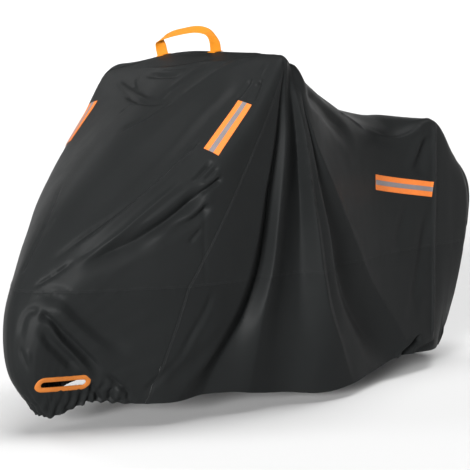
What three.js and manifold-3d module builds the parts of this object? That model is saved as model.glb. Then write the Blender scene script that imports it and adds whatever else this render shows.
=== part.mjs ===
// A fitted motorcycle cover in the shape in which it hangs: a thin sheet in seven sewn panels, with
// a carry handle, hi-vis strips with reflective tape, and two bound lock holes. Millimetres, +Z up.
// The shape is worked out over the ground that the machine stands on: x runs from the nose to the
// tail and is 0 at the handlebars, y is towards the machine's right side, and z is the height. The
// finished pieces are then lowered, so that the origin is the held point under the crest.
import * as THREE from "three";
import { mergeVertices } from "three/addons/utils/BufferGeometryUtils.js";
import Module from "manifold-3d";

const wasm = await Module();
wasm.setup();

// Driving dimensions
const CLOTH_THICKNESS = 2.5;
const SEWN_GAP = 0.4; // between two panels, and between a panel and what is sewn on it
const HANG_HEIGHT = 1243; // of the held point, on the underside of the crest
const SEAM_HEIGHT = 480; // of the seam that runs round the cover
const STRIP_WIDTH = 58;
const STRIP_THICKNESS = 1;
const TAPE_WIDTH = 18;
const TAPE_THICKNESS = 0.6;
const WEBBING_WIDTH = 40;
const WEBBING_THICKNESS = 3;
const TAB_LENGTH = 34; // of the webbing sewn flat at each foot of the handle
const HOLE_LENGTH = 186; // over the binding
const HOLE_HEIGHT = 52; // over the binding
const HOLE_MIDDLE = { x: -695, z: 172 };
const HOLE_TILT = -0.03; // in radians, down towards the nose
const HOLE_PLAY = 0.7; // between the cloth and the binding all round
const BINDING_WIDTH = 17;
const BINDING_THICKNESS = 7;

// Colours and surfaces
const BLACK_CLOTH = { color: 0x2c2e2f, roughness: 0.55, metalness: 0 };
const LOWER_CLOTH = { color: 0x292b2c, roughness: 0.6, metalness: 0 };
const ORANGE_WEBBING = { color: 0xf7a21a, roughness: 0.75, metalness: 0 };
const ORANGE_STRIP = { color: 0xf5873a, roughness: 0.6, metalness: 0 };
const GREY_TAPE = { color: 0x9a8f92, roughness: 0.35, metalness: 0.2 };
const ORANGE_BINDING = { color: 0xf29a45, roughness: 0.7, metalness: 0 };

// The cover's main lines, one row for each station from the nose hem to the tail hem. The crown is
// the middle line [x, z], the edge [x, y, z] is where the roof or the front turns into a side, and
// the hem [x, y, z] is that side's foot. Belly pushes the side out, soft rounds the edge, drop
// lowers the right edge, and steps counts the grid's steps to the next station.
const STATIONS = [
  { crown: [-722, 50], edge: [-712, 36, 50], hem: [-682, 62, 60], belly: 0, soft: 0.1, drop: 0, steps: 3 },
  { crown: [-834, 200], edge: [-802, 68, 204], hem: [-612, 90, 90], belly: 6, soft: 0.13, drop: 0, steps: 3 },
  { crown: [-848, 370], edge: [-789, 106, 378], hem: [-548, 114, 92], belly: 10, soft: 0.13, drop: 0, steps: 3 },
  { crown: [-803, 530], edge: [-671, 184, 535], hem: [-475, 180, 84], belly: 14, soft: 0.12, drop: 0, steps: 4 },
  { crown: [-683, 715], edge: [-511, 288, 712], hem: [-375, 240, 80], belly: 14, soft: 0.11, drop: 0, steps: 4 },
  { crown: [-480, 905], edge: [-334, 390, 866], hem: [-240, 278, 82], belly: 12, soft: 0.09, drop: 8, steps: 4 },
  { crown: [-235, 1090], edge: [-163, 441, 1042], hem: [-85, 295, 82], belly: 10, soft: 0.06, drop: 26, steps: 5 },
  { crown: [0, 1243], edge: [0, 450, 1243], hem: [70, 325, 54], belly: 18, soft: 0.035, drop: 54, steps: 5 },
  { crown: [215, 1192], edge: [152, 406, 1150], hem: [250, 392, 34], belly: 30, soft: 0.05, drop: 30, steps: 6 },
  { crown: [455, 1112], edge: [395, 302, 1066], hem: [430, 375, 48], belly: 22, soft: 0.08, drop: 10, steps: 6 },
  { crown: [700, 1036], edge: [680, 224, 954], hem: [620, 330, 66], belly: 10, soft: 0.1, drop: 0, steps: 5 },
  { crown: [900, 991], edge: [865, 214, 918], hem: [810, 300, 84], belly: 6, soft: 0.08, drop: 0, steps: 5 },
  { crown: [1062, 966], edge: [1044, 238, 968], hem: [1015, 266, 74], belly: 4, soft: 0.03, drop: 0, steps: 4 },
  { crown: [1231, 891], edge: [1195, 230, 842], hem: [1105, 222, 74], belly: 20, soft: 0.1, drop: 0, steps: 4 },
  { crown: [1388, 740], edge: [1310, 226, 702], hem: [1192, 164, 78], belly: 28, soft: 0.12, drop: 0, steps: 3 },
  { crown: [1380, 480], edge: [1288, 194, 455], hem: [1242, 104, 78], belly: 26, soft: 0.12, drop: 0, steps: 3 },
  { crown: [1268, 78], edge: [1263, 44, 78], hem: [1252, 80, 78], belly: 0, soft: 0.1, drop: 0, steps: 0 },
];
const LAST_STATION = STATIONS.length - 1;
const CREST_STATION = 7;
const EDGE_SHARE = 0.24; // how far down from the crown to the hem the edge lies
const ROWS_ABOVE_EDGE = 4;
const ROWS_BELOW_EDGE = 13;
const EDGE_TAPS = 6; // points averaged on each side of a point where the edge is rounded

// The folds, one row each. The path's points are [station, share down], with the share negative on
// the left side. Wide is half the width and high is the height, both from the path's start to its
// end; a trough's height is negative. Crisp sharpens the crest, lean makes one flank steeper, and
// fade is the share of the length over which each end runs out.
const FOLDS = [
  // front panel
  { path: [[5.5, -0.18], [4.5, -0.18], [3.5, -0.125], [3.1, -0.08]],
    wide: [24, 26], high: [-12, -8], crisp: 0.6, lean: 0, fade: [0.15, 0.3] },
  { path: [[5.45, -0.21], [4.5, -0.215], [3.5, -0.155], [2.95, -0.07]],
    wide: [34, 34], high: [10, 9], crisp: 0.3, lean: 0, fade: [0.25, 0.3] },
  { path: [[5.5, -0.25], [5, -0.27], [4, -0.275], [3.6, -0.25], [3.1, -0.18]],
    wide: [48, 62], high: [-26, -26], crisp: 0.2, lean: 0, fade: [0.25, 0.35] },
  { path: [[5.4, -0.32], [4.5, -0.335], [4, -0.34], [3.5, -0.3], [3, -0.21]],
    wide: [45, 60], high: [14, 14], crisp: 0.3, lean: 0, fade: [0.3, 0.4] },
  { path: [[5.2, -0.34], [4.9, -0.365], [4.5, -0.385], [4.1, -0.395]],
    wide: [26, 32], high: [-12, -9], crisp: 0.4, lean: 0, fade: [0.3, 0.5] },
  { path: [[7, -0.13], [6.55, -0.09], [6.03, -0.04], [5.3, 0.02]],
    wide: [28, 42], high: [9, 6], crisp: 0.6, lean: 0, fade: [0.2, 0.4] },
  { path: [[6.5, 0.2], [6.2, 0.12], [6, 0.03], [6.05, -0.05], [6.3, -0.1]],
    wide: [30, 30], high: [8, 8], crisp: 0.5, lean: 0, fade: [0.3, 0.4] },
  { path: [[6.55, 0.12], [6.42, 0.03], [6.5, -0.05]],
    wide: [42, 38], high: [-12, -9], crisp: 0.2, lean: 0, fade: [0.4, 0.4] },
  { path: [[6.8, -0.205], [6.5, -0.22], [6.2, -0.235]],
    wide: [16, 20], high: [-8, -6], crisp: 0.4, lean: 0, fade: [0.2, 0.3] },
  { path: [[4.6, 0.1], [3.8, 0.05], [3.1, 0]],
    wide: [34, 34], high: [7, 6], crisp: 0.5, lean: 0, fade: [0.3, 0.3] },
  // left side, under the handlebars
  { path: [[6.8, -0.27], [6.4, -0.5], [6.2, -0.68], [5.8, -0.84], [5.1, -0.93], [4.2, -0.985]],
    wide: [24, 70], high: [-18, -26], crisp: 0.2, lean: 0, fade: [0.15, 0.25] },
  { path: [[6.95, -0.3], [6.8, -0.5], [6.6, -0.72], [6.3, -0.97]],
    wide: [22, 55], high: [12, 16], crisp: 0.3, lean: 0, fade: [0.2, 0.1] },
  { path: [[7.25, -0.32], [7.15, -0.55], [6.92, -0.79], [6.6, -0.99]],
    wide: [24, 60], high: [-18, -28], crisp: 0.2, lean: 0, fade: [0.15, 0.1] },
  { path: [[7.12, -0.26], [7.5, -0.36], [7.72, -0.525], [8.13, -0.76], [8.7, -0.94]],
    wide: [26, 50], high: [14, 20], crisp: 0.8, lean: 0.3, fade: [0.2, 0.3] },
  { path: [[7.72, -0.4], [8.15, -0.58], [8.7, -0.7], [9.4, -0.86], [10, -0.94]],
    wide: [24, 70], high: [-20, -34], crisp: 0.2, lean: -0.2, fade: [0.15, 0.3] },
  { path: [[7.6, -0.34], [8.52, -0.445], [9.2, -0.59], [10.03, -0.77], [10.85, -0.94]],
    wide: [28, 70], high: [14, 18], crisp: 0.7, lean: -0.3, fade: [0.15, 0.25] },
  { path: [[7.9, -0.29], [8.8, -0.33], [9.6, -0.4]],
    wide: [44, 70], high: [-22, -22], crisp: 0.1, lean: 0, fade: [0.3, 0.5] },
  { path: [[7.25, -0.15], [7.29, -0.235], [7.33, -0.33]],
    wide: [50, 50], high: [-24, -18], crisp: 0, lean: 0, fade: [0.3, 0.3] },
  { path: [[5.25, -0.56], [4.97, -0.71], [4.65, -0.78], [4.23, -0.845], [3.1, -0.97]],
    wide: [20, 26], high: [-10, -12], crisp: 0.7, lean: 0.3, fade: [0.25, 0.15] },
  { path: [[5.5, -0.62], [5.3, -0.74], [4.8, -0.84], [4, -0.92]],
    wide: [40, 50], high: [10, 12], crisp: 0.2, lean: 0, fade: [0.3, 0.3] },
  // left side, under the tail
  { path: [[9.2, -0.19], [10, -0.215], [10.7, -0.22], [11.6, -0.235], [12, -0.2]],
    wide: [26, 26], high: [12, 12], crisp: 0.5, lean: 0, fade: [0.3, 0.1] },
  { path: [[9.8, -0.14], [10.6, -0.15], [11.3, -0.15], [12.1, -0.13]],
    wide: [36, 44], high: [-14, -14], crisp: 0.2, lean: 0, fade: [0.4, 0.3] },
  { path: [[11.55, -0.26], [11.5, -0.38], [11.4, -0.55]],
    wide: [36, 44], high: [-10, -6], crisp: 0.3, lean: 0, fade: [0.2, 0.6] },
  { path: [[12, -0.19], [12, -0.5], [12, -0.97]],
    wide: [18, 18], high: [9, 8], crisp: 1, lean: 0, fade: [0.05, 0.05] },
  { path: [[11.6, -0.88], [11.3, -0.94], [10.9, -1]],
    wide: [28, 28], high: [-16, -12], crisp: 0.4, lean: 0, fade: [0.3, 0.2] },
  // nose
  { path: [[2.4, -0.17], [2.15, -0.35], [2.25, -0.62], [2.75, -0.87], [3, -0.94]],
    wide: [24, 34], high: [-12, -15], crisp: 0.3, lean: 0, fade: [0.25, 0.25] },
  { path: [[2.05, -0.2], [1.95, -0.38], [2, -0.6]],
    wide: [22, 26], high: [-10, -9], crisp: 0.3, lean: 0, fade: [0.3, 0.3] },
  { path: [[2.45, 0.2], [2.2, 0.4], [2.3, 0.65], [2.8, 0.9]],
    wide: [24, 34], high: [-12, -14], crisp: 0.3, lean: 0, fade: [0.25, 0.25] },
  // right side
  { path: [[5.5, 0.25], [4.8, 0.275], [4, 0.28], [3.3, 0.2]],
    wide: [46, 60], high: [-22, -22], crisp: 0.2, lean: 0, fade: [0.25, 0.35] },
  { path: [[5.3, 0.33], [4.4, 0.34], [3.4, 0.27]],
    wide: [44, 58], high: [12, 12], crisp: 0.3, lean: 0, fade: [0.3, 0.4] },
  { path: [[6.75, 0.28], [6.35, 0.52], [6, 0.74], [5.3, 0.92]],
    wide: [24, 66], high: [-16, -26], crisp: 0.2, lean: 0, fade: [0.15, 0.2] },
  { path: [[7.2, 0.31], [7, 0.6], [6.7, 0.97]],
    wide: [24, 60], high: [-16, -26], crisp: 0.2, lean: 0, fade: [0.15, 0.1] },
  { path: [[7.12, 0.24], [7.5, 0.38], [7.8, 0.6], [8.2, 0.96]],
    wide: [26, 52], high: [16, 20], crisp: 0.7, lean: 0, fade: [0.1, 0.2] },
  { path: [[7.75, 0.38], [8.2, 0.58], [8.9, 0.78], [9.6, 0.95]],
    wide: [24, 66], high: [-18, -30], crisp: 0.2, lean: 0, fade: [0.15, 0.2] },
  { path: [[7.6, 0.32], [8.6, 0.47], [9.5, 0.66], [10.6, 0.92]],
    wide: [28, 64], high: [13, 17], crisp: 0.6, lean: 0, fade: [0.15, 0.25] },
  { path: [[9.2, 0.19], [10, 0.215], [11.3, 0.23], [12, 0.2]],
    wide: [26, 26], high: [11, 11], crisp: 0.5, lean: 0, fade: [0.3, 0.1] },
  { path: [[12, 0.19], [12, 0.5], [12, 0.97]],
    wide: [18, 18], high: [9, 8], crisp: 1, lean: 0, fade: [0.05, 0.05] },
  // roof and tail
  { path: [[7.4, 0.02], [8.2, -0.02], [9.2, 0.03]],
    wide: [60, 60], high: [-14, -12], crisp: 0, lean: 0, fade: [0.4, 0.5] },
  { path: [[12.2, -0.13], [13.2, -0.2], [14.4, -0.42], [15.2, -0.8]],
    wide: [30, 44], high: [-10, -14], crisp: 0.3, lean: 0, fade: [0.3, 0.2] },
  { path: [[12.3, 0.1], [13.4, 0.14], [14.6, 0.26], [15.5, 0.6]],
    wide: [30, 44], high: [-9, -13], crisp: 0.3, lean: 0, fade: [0.3, 0.2] },
];
const PATH_STEPS = 5; // between two points of a fold's path
const NARROWEST_FOLD = 32; // half the width that the grid can still carry

// The two upright seams, as [height, x] points from the ground to over the crest
const TOP = 1400;
const FRONT_SEAM = [[0, -455], [SEAM_HEIGHT, -359], [TOP, 70]];
const REAR_SEAM = [[0, 1012], [TOP, 1063.7]];

// Hi-vis strips of one side, from one place [station, share down] to another
const STRIPS = [
  { name: "front", from: [6.19, 0.21], to: [5.39, 0.22] },
  { name: "rear", from: [10.1, 0.408], to: [11.93, 0.468] },
];

// The carry handle: where the webbing's middle runs, and which way its width points. Its far foot
// stands to the right of the crown and its near foot to the left.
const HANDLE = [
  { at: [12, 172, 1190], across: [0.75, -0.65, 0] },
  { at: [10, 176, 1225], across: [0.75, -0.65, 0] },
  { at: [6, 184, 1262], across: [0.8, -0.5, 0.1] },
  { at: [0, 184, 1284], across: [0.75, 0.5, 0.35] },
  { at: [-2, 128, 1301], across: [0.15, 0.1, 1] },
  { at: [-2, 66, 1314], across: [0.05, 0, 1] },
  { at: [-2, 4, 1322], across: [0.05, 0, 1] },
  { at: [0, -38, 1320], across: [0.3, 0, 0.9] },
  { at: [4, -68, 1309], across: [0.8, 0.45, 0.3] },
  { at: [8, -88, 1288], across: [0.8, -0.2, 0] },
  { at: [12, -92, 1252], across: [0.8, -0.4, 0] },
  { at: [14, -88, 1190], across: [0.8, -0.5, 0] },
];
const HANDLE_STEPS = 44;
const TAB_PLACES = [[CREST_STATION + 0.06, 0.093], [CREST_STATION + 0.06, -0.048]];
const UNDER_HANDLE = { stations: [6.5, 7.5], shares: [-0.14, 0.16], depth: 70 };

// Value at t of a Catmull-Rom spline through equally spaced knots.
function splineAt(knots, t) {
  const last = knots.length - 1;
  const i = Math.min(Math.max(Math.floor(t), 0), last - 1);
  const f = t - i;
  const before = i > 0 ? knots[i - 1] : 2 * knots[0] - knots[1];
  const after = i + 2 > last ? 2 * knots[last] - knots[last - 1] : knots[i + 2];
  const [q, r] = [knots[i], knots[i + 1]];
  const bend = 2 * before - 5 * q + 4 * r - after + f * (3 * (q - r) + after - before);
  return q + 0.5 * f * (r - before + f * bend);
}

// Makes a function of the station from one value of each row.
function column(pick) {
  const knots = STATIONS.map(pick);
  return (t) => splineAt(knots, t);
}

const LINES = {
  crown: [column((row) => row.crown[0]), () => 0, column((row) => row.crown[1])],
  edge: [0, 1, 2].map((axis) => column((row) => row.edge[axis])),
  hem: [0, 1, 2].map((axis) => column((row) => row.hem[axis])),
  belly: column((row) => row.belly),
  soft: column((row) => row.soft),
  drop: column((row) => row.drop),
};
const pointOn = (line, t) => new THREE.Vector3(...line.map((value) => value(t)));

// A point of a station's right half before its edge is rounded, at a share of the way down.
function framePoint(t, share) {
  const edge = pointOn(LINES.edge, t);
  if (share < EDGE_SHARE) return pointOn(LINES.crown, t).lerp(edge, share / EDGE_SHARE);
  const below = (share - EDGE_SHARE) / (1 - EDGE_SHARE);
  const point = edge.lerp(pointOn(LINES.hem, t), below);
  point.y += LINES.belly(t) * 4 * below * (1 - below);
  return point;
}

// The smooth form under the folds, at a station and a signed share down.
function formAt(t, down) {
  const share = Math.abs(down);
  const reach = Math.min(LINES.soft(t), 1 - share);
  const point = new THREE.Vector3();
  for (let k = -EDGE_TAPS; k <= EDGE_TAPS; k++) {
    const at = share + (reach * k) / EDGE_TAPS;
    const tap = framePoint(t, Math.abs(at));
    if (at < 0) tap.y = -tap.y;
    point.addScaledVector(tap, (1 - Math.abs(k) / (EDGE_TAPS + 1)) / (EDGE_TAPS + 1));
  }
  if (down < 0) {
    point.y = -point.y;
  } else {
    const middle = Math.sin(Math.PI * Math.min(1, share / (2 * EDGE_SHARE)));
    point.z -= LINES.drop(t) * middle * middle;
  }
  return point;
}

// The outward normal of a surface that is given by a function of station and share.
const SMALL_STEP = 0.01;
function normalOf(surface, t, down) {
  const [t0, t1] = [Math.max(t - SMALL_STEP, 0), Math.min(t + SMALL_STEP, LAST_STATION)];
  const [d0, d1] = [Math.max(down - SMALL_STEP, -1), Math.min(down + SMALL_STEP, 1)];
  const along = surface(t1, down).sub(surface(t0, down));
  const across = surface(t, d1).sub(surface(t, d0));
  return along.cross(across).normalize();
}

// Lays a fold's path on the form, as points with their normals.
function layFold(fold) {
  const stations = fold.path.map((knot) => knot[0]);
  const shares = fold.path.map((knot) => knot[1]);
  const steps = PATH_STEPS * (fold.path.length - 1);
  const laid = Array.from({ length: steps + 1 }, (_, k) => {
    const t = splineAt(stations, k / PATH_STEPS);
    const down = splineAt(shares, k / PATH_STEPS);
    return { point: formAt(t, down), normal: normalOf(formAt, t, down), along: k / steps };
  });
  return { ...fold, laid };
}
const LAID_FOLDS = FOLDS.map(layFold);

const smooth = (x) => {
  const u = Math.min(Math.max(x, 0), 1);
  return u * u * (3 - 2 * u);
};

// How far one fold lifts a point of the form that has the given normal.
function liftOfFold(fold, point, normal) {
  const side = new THREE.Vector3();
  const gap = new THREE.Vector3();
  let best = { distance: Infinity };
  for (let k = 0; k + 1 < fold.laid.length; k++) {
    const [from, to] = [fold.laid[k], fold.laid[k + 1]];
    side.subVectors(to.point, from.point);
    gap.subVectors(point, from.point);
    const f = Math.min(Math.max(gap.dot(side) / side.lengthSq(), 0), 1);
    gap.addScaledVector(side, -f);
    const distance = gap.length();
    if (distance < best.distance) {
      const turn = Math.sign(side.cross(gap).dot(normal));
      const facing = Math.max(0, normal.dot(f < 0.5 ? from.normal : to.normal));
      best = { distance, turn, facing, along: THREE.MathUtils.lerp(from.along, to.along, f) };
    }
  }
  const drawn = Math.max(THREE.MathUtils.lerp(...fold.wide, best.along), NARROWEST_FOLD);
  const width = drawn * (1 + fold.lean * best.turn);
  const u = best.distance / width;
  if (u >= 1) return 0;
  const soft = smooth(1 - u);
  const sharp = (1 - u) * (1 - u);
  const ends = smooth(best.along / fold.fade[0]) * smooth((1 - best.along) / fold.fade[1]);
  const height = THREE.MathUtils.lerp(...fold.high, best.along);
  return height * ends * best.facing * (soft + fold.crisp * (sharp - soft));
}

// The cloth's inner face, folds and all.
function clothAt(t, down) {
  const point = formAt(t, down);
  const normal = normalOf(formAt, t, down);
  const lift = LAID_FOLDS.reduce((sum, fold) => sum + liftOfFold(fold, point, normal), 0);
  return point.addScaledVector(normal, lift);
}

// The grid that all cloth is built on: points of the inner face, their normals, and which way the
// diagonal of each cell has to run to follow the folds.
function buildGrid() {
  const stations = STATIONS.flatMap((row, i) =>
    Array.from({ length: row.steps }, (_, k) => i + k / row.steps),
  );
  stations.push(LAST_STATION);
  const above = Array.from({ length: ROWS_ABOVE_EDGE }, (_, k) => (EDGE_SHARE * k) / ROWS_ABOVE_EDGE);
  const below = Array.from(
    { length: ROWS_BELOW_EDGE + 1 },
    (_, k) => EDGE_SHARE + ((1 - EDGE_SHARE) * k) / ROWS_BELOW_EDGE,
  );
  const half = [...above, ...below];
  const shares = [...half.slice(1).reverse().map((share) => -share), ...half];
  const points = stations.map((t) => shares.map((down) => clothAt(t, down)));
  const [endI, endJ] = [stations.length - 1, shares.length - 1];
  const normals = points.map((row, i) =>
    row.map((_, j) => {
      const along = points[Math.min(i + 1, endI)][j].clone().sub(points[Math.max(i - 1, 0)][j]);
      const across = row[Math.min(j + 1, endJ)].clone().sub(row[Math.max(j - 1, 0)]);
      return along.cross(across).normalize();
    }),
  );
  const risingDiagonal = stations.slice(1).map((t, i) =>
    shares.slice(1).map((share, j) => {
      const middle = clothAt((stations[i] + t) / 2, (shares[j] + share) / 2);
      const rising = points[i][j].clone().lerp(points[i + 1][j + 1], 0.5);
      const falling = points[i + 1][j].clone().lerp(points[i][j + 1], 0.5);
      return rising.distanceTo(middle) < falling.distanceTo(middle);
    }),
  );
  return { stations, shares, points, normals, risingDiagonal };
}
const GRID = buildGrid();

function closedGeometry(positions, faces) {
  const geometry = new THREE.BufferGeometry();
  geometry.setAttribute("position", new THREE.Float32BufferAttribute(positions, 3));
  geometry.setIndex(faces);
  return geometry;
}

// The numbers of the grid lines that enclose a range.
function linesWithin(values, [low, high]) {
  const numbers = values.map((_, k) => k);
  return numbers.filter((k) => {
    const before = values[Math.max(k - 1, 0)];
    const after = values[Math.min(k + 1, values.length - 1)];
    return after >= low && before <= high;
  });
}

// A closed solid between two offsets of the grid, over ranges of stations and shares.
function skin(inner, outer, stationRange = [0, LAST_STATION], shareRange = [-1, 1]) {
  const rowsI = linesWithin(GRID.stations, stationRange);
  const rowsJ = linesWithin(GRID.shares, shareRange);
  const offsetPoint = (i, j, offset) =>
    GRID.points[i][j].clone().addScaledVector(GRID.normals[i][j], offset).toArray();
  const positions = [outer, inner].flatMap((offset) =>
    rowsI.flatMap((i) => rowsJ.flatMap((j) => offsetPoint(i, j, offset))),
  );
  const [countI, countJ] = [rowsI.length, rowsJ.length];
  const id = (i, j, layer) => (layer * countI + i) * countJ + j;
  const faces = [];
  const quad = (a, b, c, d) => faces.push(a, b, c, a, c, d);
  for (let i = 0; i + 1 < countI; i++) {
    for (let j = 0; j + 1 < countJ; j++) {
      const outside = [id(i, j, 0), id(i + 1, j, 0), id(i + 1, j + 1, 0), id(i, j + 1, 0)];
      const inside = [id(i, j, 1), id(i, j + 1, 1), id(i + 1, j + 1, 1), id(i + 1, j, 1)];
      if (!GRID.risingDiagonal[rowsI[i]][rowsJ[j]]) {
        outside.push(outside.shift());
        inside.push(inside.shift());
      }
      quad(...outside);
      quad(...inside);
    }
  }
  const [endI, endJ] = [countI - 1, countJ - 1];
  for (let i = 0; i < endI; i++) {
    quad(id(i, 0, 0), id(i, 0, 1), id(i + 1, 0, 1), id(i + 1, 0, 0));
    quad(id(i, endJ, 0), id(i + 1, endJ, 0), id(i + 1, endJ, 1), id(i, endJ, 1));
  }
  for (let j = 0; j < endJ; j++) {
    quad(id(0, j, 0), id(0, j + 1, 0), id(0, j + 1, 1), id(0, j, 1));
    quad(id(endI, j, 0), id(endI, j, 1), id(endI, j + 1, 1), id(endI, j + 1, 0));
  }
  return closedGeometry(positions, faces);
}

// Turns a closed geometry into a solid that can be joined and cut, and back.
const WELD = 1e-3;
function toSolid(geometry) {
  const bare = new THREE.BufferGeometry();
  bare.setAttribute("position", geometry.getAttribute("position"));
  bare.setIndex(geometry.getIndex());
  const merged = mergeVertices(bare, WELD);
  return new wasm.Manifold(
    new wasm.Mesh({
      numProp: 3,
      vertProperties: new Float32Array(merged.getAttribute("position").array),
      triVerts: new Uint32Array(merged.getIndex().array),
    }),
  );
}
function toGeometry(solid) {
  const mesh = solid.getMesh();
  return closedGeometry(Array.from(mesh.vertProperties), Array.from(mesh.triVerts));
}

// A prism along y over an outline of [x, z] points.
function prismAlongY(outline, fromY, toY) {
  const shape = new THREE.Shape(outline.map(([x, z]) => new THREE.Vector2(x, z)));
  const geometry = new THREE.ExtrudeGeometry(shape, { depth: toY - fromY, bevelEnabled: false });
  geometry.rotateX(Math.PI / 2);
  geometry.translate(0, toY, 0);
  return toSolid(geometry);
}

// A box through the cloth, set along it between two places [station, share down].
const BOX_DEPTH = 140;
function boxBetween(from, to, width) {
  const [start, end] = [clothAt(...from), clothAt(...to)];
  const middle = [(from[0] + to[0]) / 2, (from[1] + to[1]) / 2];
  const along = end.clone().sub(start);
  const length = along.length();
  along.normalize();
  const across = normalOf(clothAt, ...middle).cross(along).normalize();
  const up = along.clone().cross(across);
  const geometry = new THREE.BoxGeometry(length, width, BOX_DEPTH);
  geometry.applyMatrix4(new THREE.Matrix4().makeBasis(along, across, up));
  const centre = start.lerp(end, 0.5);
  geometry.translate(centre.x, centre.y, centre.z);
  return toSolid(geometry);
}

const cover = new THREE.Group();
cover.name = "motorcycle_cover";

function addPiece(name, geometry, look) {
  geometry.translate(0, 0, -HANG_HEIGHT);
  geometry.computeVertexNormals();
  const material = new THREE.MeshStandardMaterial(look);
  material.name = name;
  const mesh = new THREE.Mesh(geometry, material);
  mesh.name = name;
  cover.add(mesh);
}
const SIDES = [{ word: "left", sign: -1 }, { word: "right", sign: 1 }];

// Lock holes, one on each side of the nose
const HOLE_STEPS = 34;
const PLUG_REACH = 12; // of the cut, to each side of the cloth's middle
const NEAR_HOLE = { station: 1.4, share: 0.5 };
const NEWTON_ROUNDS = 12;

// The place [station, share] of the form at the wanted x and z, found by Newton's method.
function placeOnSide(x, z, sign) {
  let t = NEAR_HOLE.station;
  let down = sign * NEAR_HOLE.share;
  for (let round = 0; round < NEWTON_ROUNDS; round++) {
    const here = formAt(t, down);
    const byT = formAt(t + SMALL_STEP, down).sub(here).divideScalar(SMALL_STEP);
    const byDown = formAt(t, down + SMALL_STEP).sub(here).divideScalar(SMALL_STEP);
    const [dx, dz] = [x - here.x, z - here.z];
    const det = byT.x * byDown.z - byDown.x * byT.z;
    t += (dx * byDown.z - dz * byDown.x) / det;
    down += (byT.x * dz - byT.z * dx) / det;
  }
  return [t, down];
}

// A point of a slot's outline with round ends, at a turn from 0 to 1, around its middle.
function slotPoint(length, height, turn) {
  const radius = height / 2;
  const straight = length - height;
  const arc = Math.PI * radius;
  const way = turn * 2 * (straight + arc);
  if (way < straight) return [way - straight / 2, radius];
  if (way < straight + arc) {
    const angle = (way - straight) / radius;
    return [straight / 2 + radius * Math.sin(angle), radius * Math.cos(angle)];
  }
  if (way < 2 * straight + arc) return [straight / 2 - (way - straight - arc), -radius];
  const angle = (way - 2 * straight - arc) / radius;
  return [-straight / 2 - radius * Math.sin(angle), -radius * Math.cos(angle)];
}

// The hole's outline, seen from the side, drawn in from the binding's outer edge.
function holeOutline(inset) {
  const [cos, sin] = [Math.cos(HOLE_TILT), Math.sin(HOLE_TILT)];
  return Array.from({ length: HOLE_STEPS }, (_, k) => {
    const [u, v] = slotPoint(HOLE_LENGTH - 2 * inset, HOLE_HEIGHT - 2 * inset, k / HOLE_STEPS);
    return [HOLE_MIDDLE.x + u * cos - v * sin, HOLE_MIDDLE.z + u * sin + v * cos];
  });
}

// Outline points [x, z] carried onto one side's cloth, and lifted from its middle.
function carryOutline(outline, sign, lift) {
  return outline.map(([x, z]) => {
    const place = placeOnSide(x, z, sign);
    return formAt(...place).addScaledVector(normalOf(formAt, ...place), CLOTH_THICKNESS / 2 + lift);
  });
}

// A solid as wide as the whole hole, which stands through the cloth.
function holePlug(sign) {
  const outline = holeOutline(-HOLE_PLAY);
  const middle = [[HOLE_MIDDLE.x, HOLE_MIDDLE.z]];
  const lifts = [PLUG_REACH, -PLUG_REACH];
  const rings = lifts.flatMap((lift) => carryOutline(outline, sign, lift));
  const caps = lifts.flatMap((lift) => carryOutline(middle, sign, lift));
  const positions = [...rings, ...caps].flatMap((point) => point.toArray());
  const faces = [];
  const add = (a, b, c) => faces.push(...(sign > 0 ? [a, b, c] : [a, c, b]));
  const [outerCap, innerCap] = [2 * HOLE_STEPS, 2 * HOLE_STEPS + 1];
  for (let i = 0; i < HOLE_STEPS; i++) {
    const next = (i + 1) % HOLE_STEPS;
    add(i, HOLE_STEPS + i, HOLE_STEPS + next);
    add(i, HOLE_STEPS + next, next);
    add(outerCap, i, next);
    add(innerCap, HOLE_STEPS + next, HOLE_STEPS + i);
  }
  return toSolid(closedGeometry(positions, faces));
}

// The binding: a flat ring with rounded edges, swept round the hole along the cloth. Its section
// is given at four shares of its width, over the top and back underneath.
const BINDING_SHARES = [0, 0.2, 0.8, 1];
const halfBinding = (share) => (BINDING_THICKNESS / 2) * Math.sin(Math.PI * (0.12 + 0.76 * share));
function bindingGeometry(sign) {
  const loopAt = (share, way) =>
    carryOutline(holeOutline(share * BINDING_WIDTH), sign, way * halfBinding(share));
  const loops = [
    ...BINDING_SHARES.map((share) => loopAt(share, 1)),
    ...BINDING_SHARES.toReversed().map((share) => loopAt(share, -1)),
  ];
  const positions = loops.flatMap((loop) => loop.flatMap((point) => point.toArray()));
  const faces = [];
  loops.forEach((_, k) => {
    const [row, nextRow] = [k * HOLE_STEPS, ((k + 1) % loops.length) * HOLE_STEPS];
    for (let i = 0; i < HOLE_STEPS; i++) {
      const next = (i + 1) % HOLE_STEPS;
      const [a, b, c, d] = [row + i, row + next, nextRow + next, nextRow + i];
      faces.push(...(sign > 0 ? [a, b, c, a, c, d] : [a, c, b, a, d, c]));
    }
  });
  return closedGeometry(positions, faces);
}

// Panels: the whole sheet, cut at the seams and the lock holes
const FAR = 2000;
function seamX(seam, z) {
  const k = z < seam.at(-2)[0] ? 0 : seam.length - 2;
  const [[z0, x0], [z1, x1]] = [seam[k], seam[k + 1]];
  return x0 + ((x1 - x0) * (z - z0)) / (z1 - z0);
}
const HALF_GAP = SEWN_GAP / 2;
const LOWER = [0, SEAM_HEIGHT - HALF_GAP];
const UPPER = [SEAM_HEIGHT + HALF_GAP, TOP];
const FRONT = [() => -FAR, (z) => seamX(FRONT_SEAM, z) - HALF_GAP];
const MIDDLE = [(z) => seamX(FRONT_SEAM, z) + HALF_GAP, (z) => seamX(REAR_SEAM, z) - HALF_GAP];
const REAR = [(z) => seamX(REAR_SEAM, z) + HALF_GAP, () => FAR];

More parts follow.
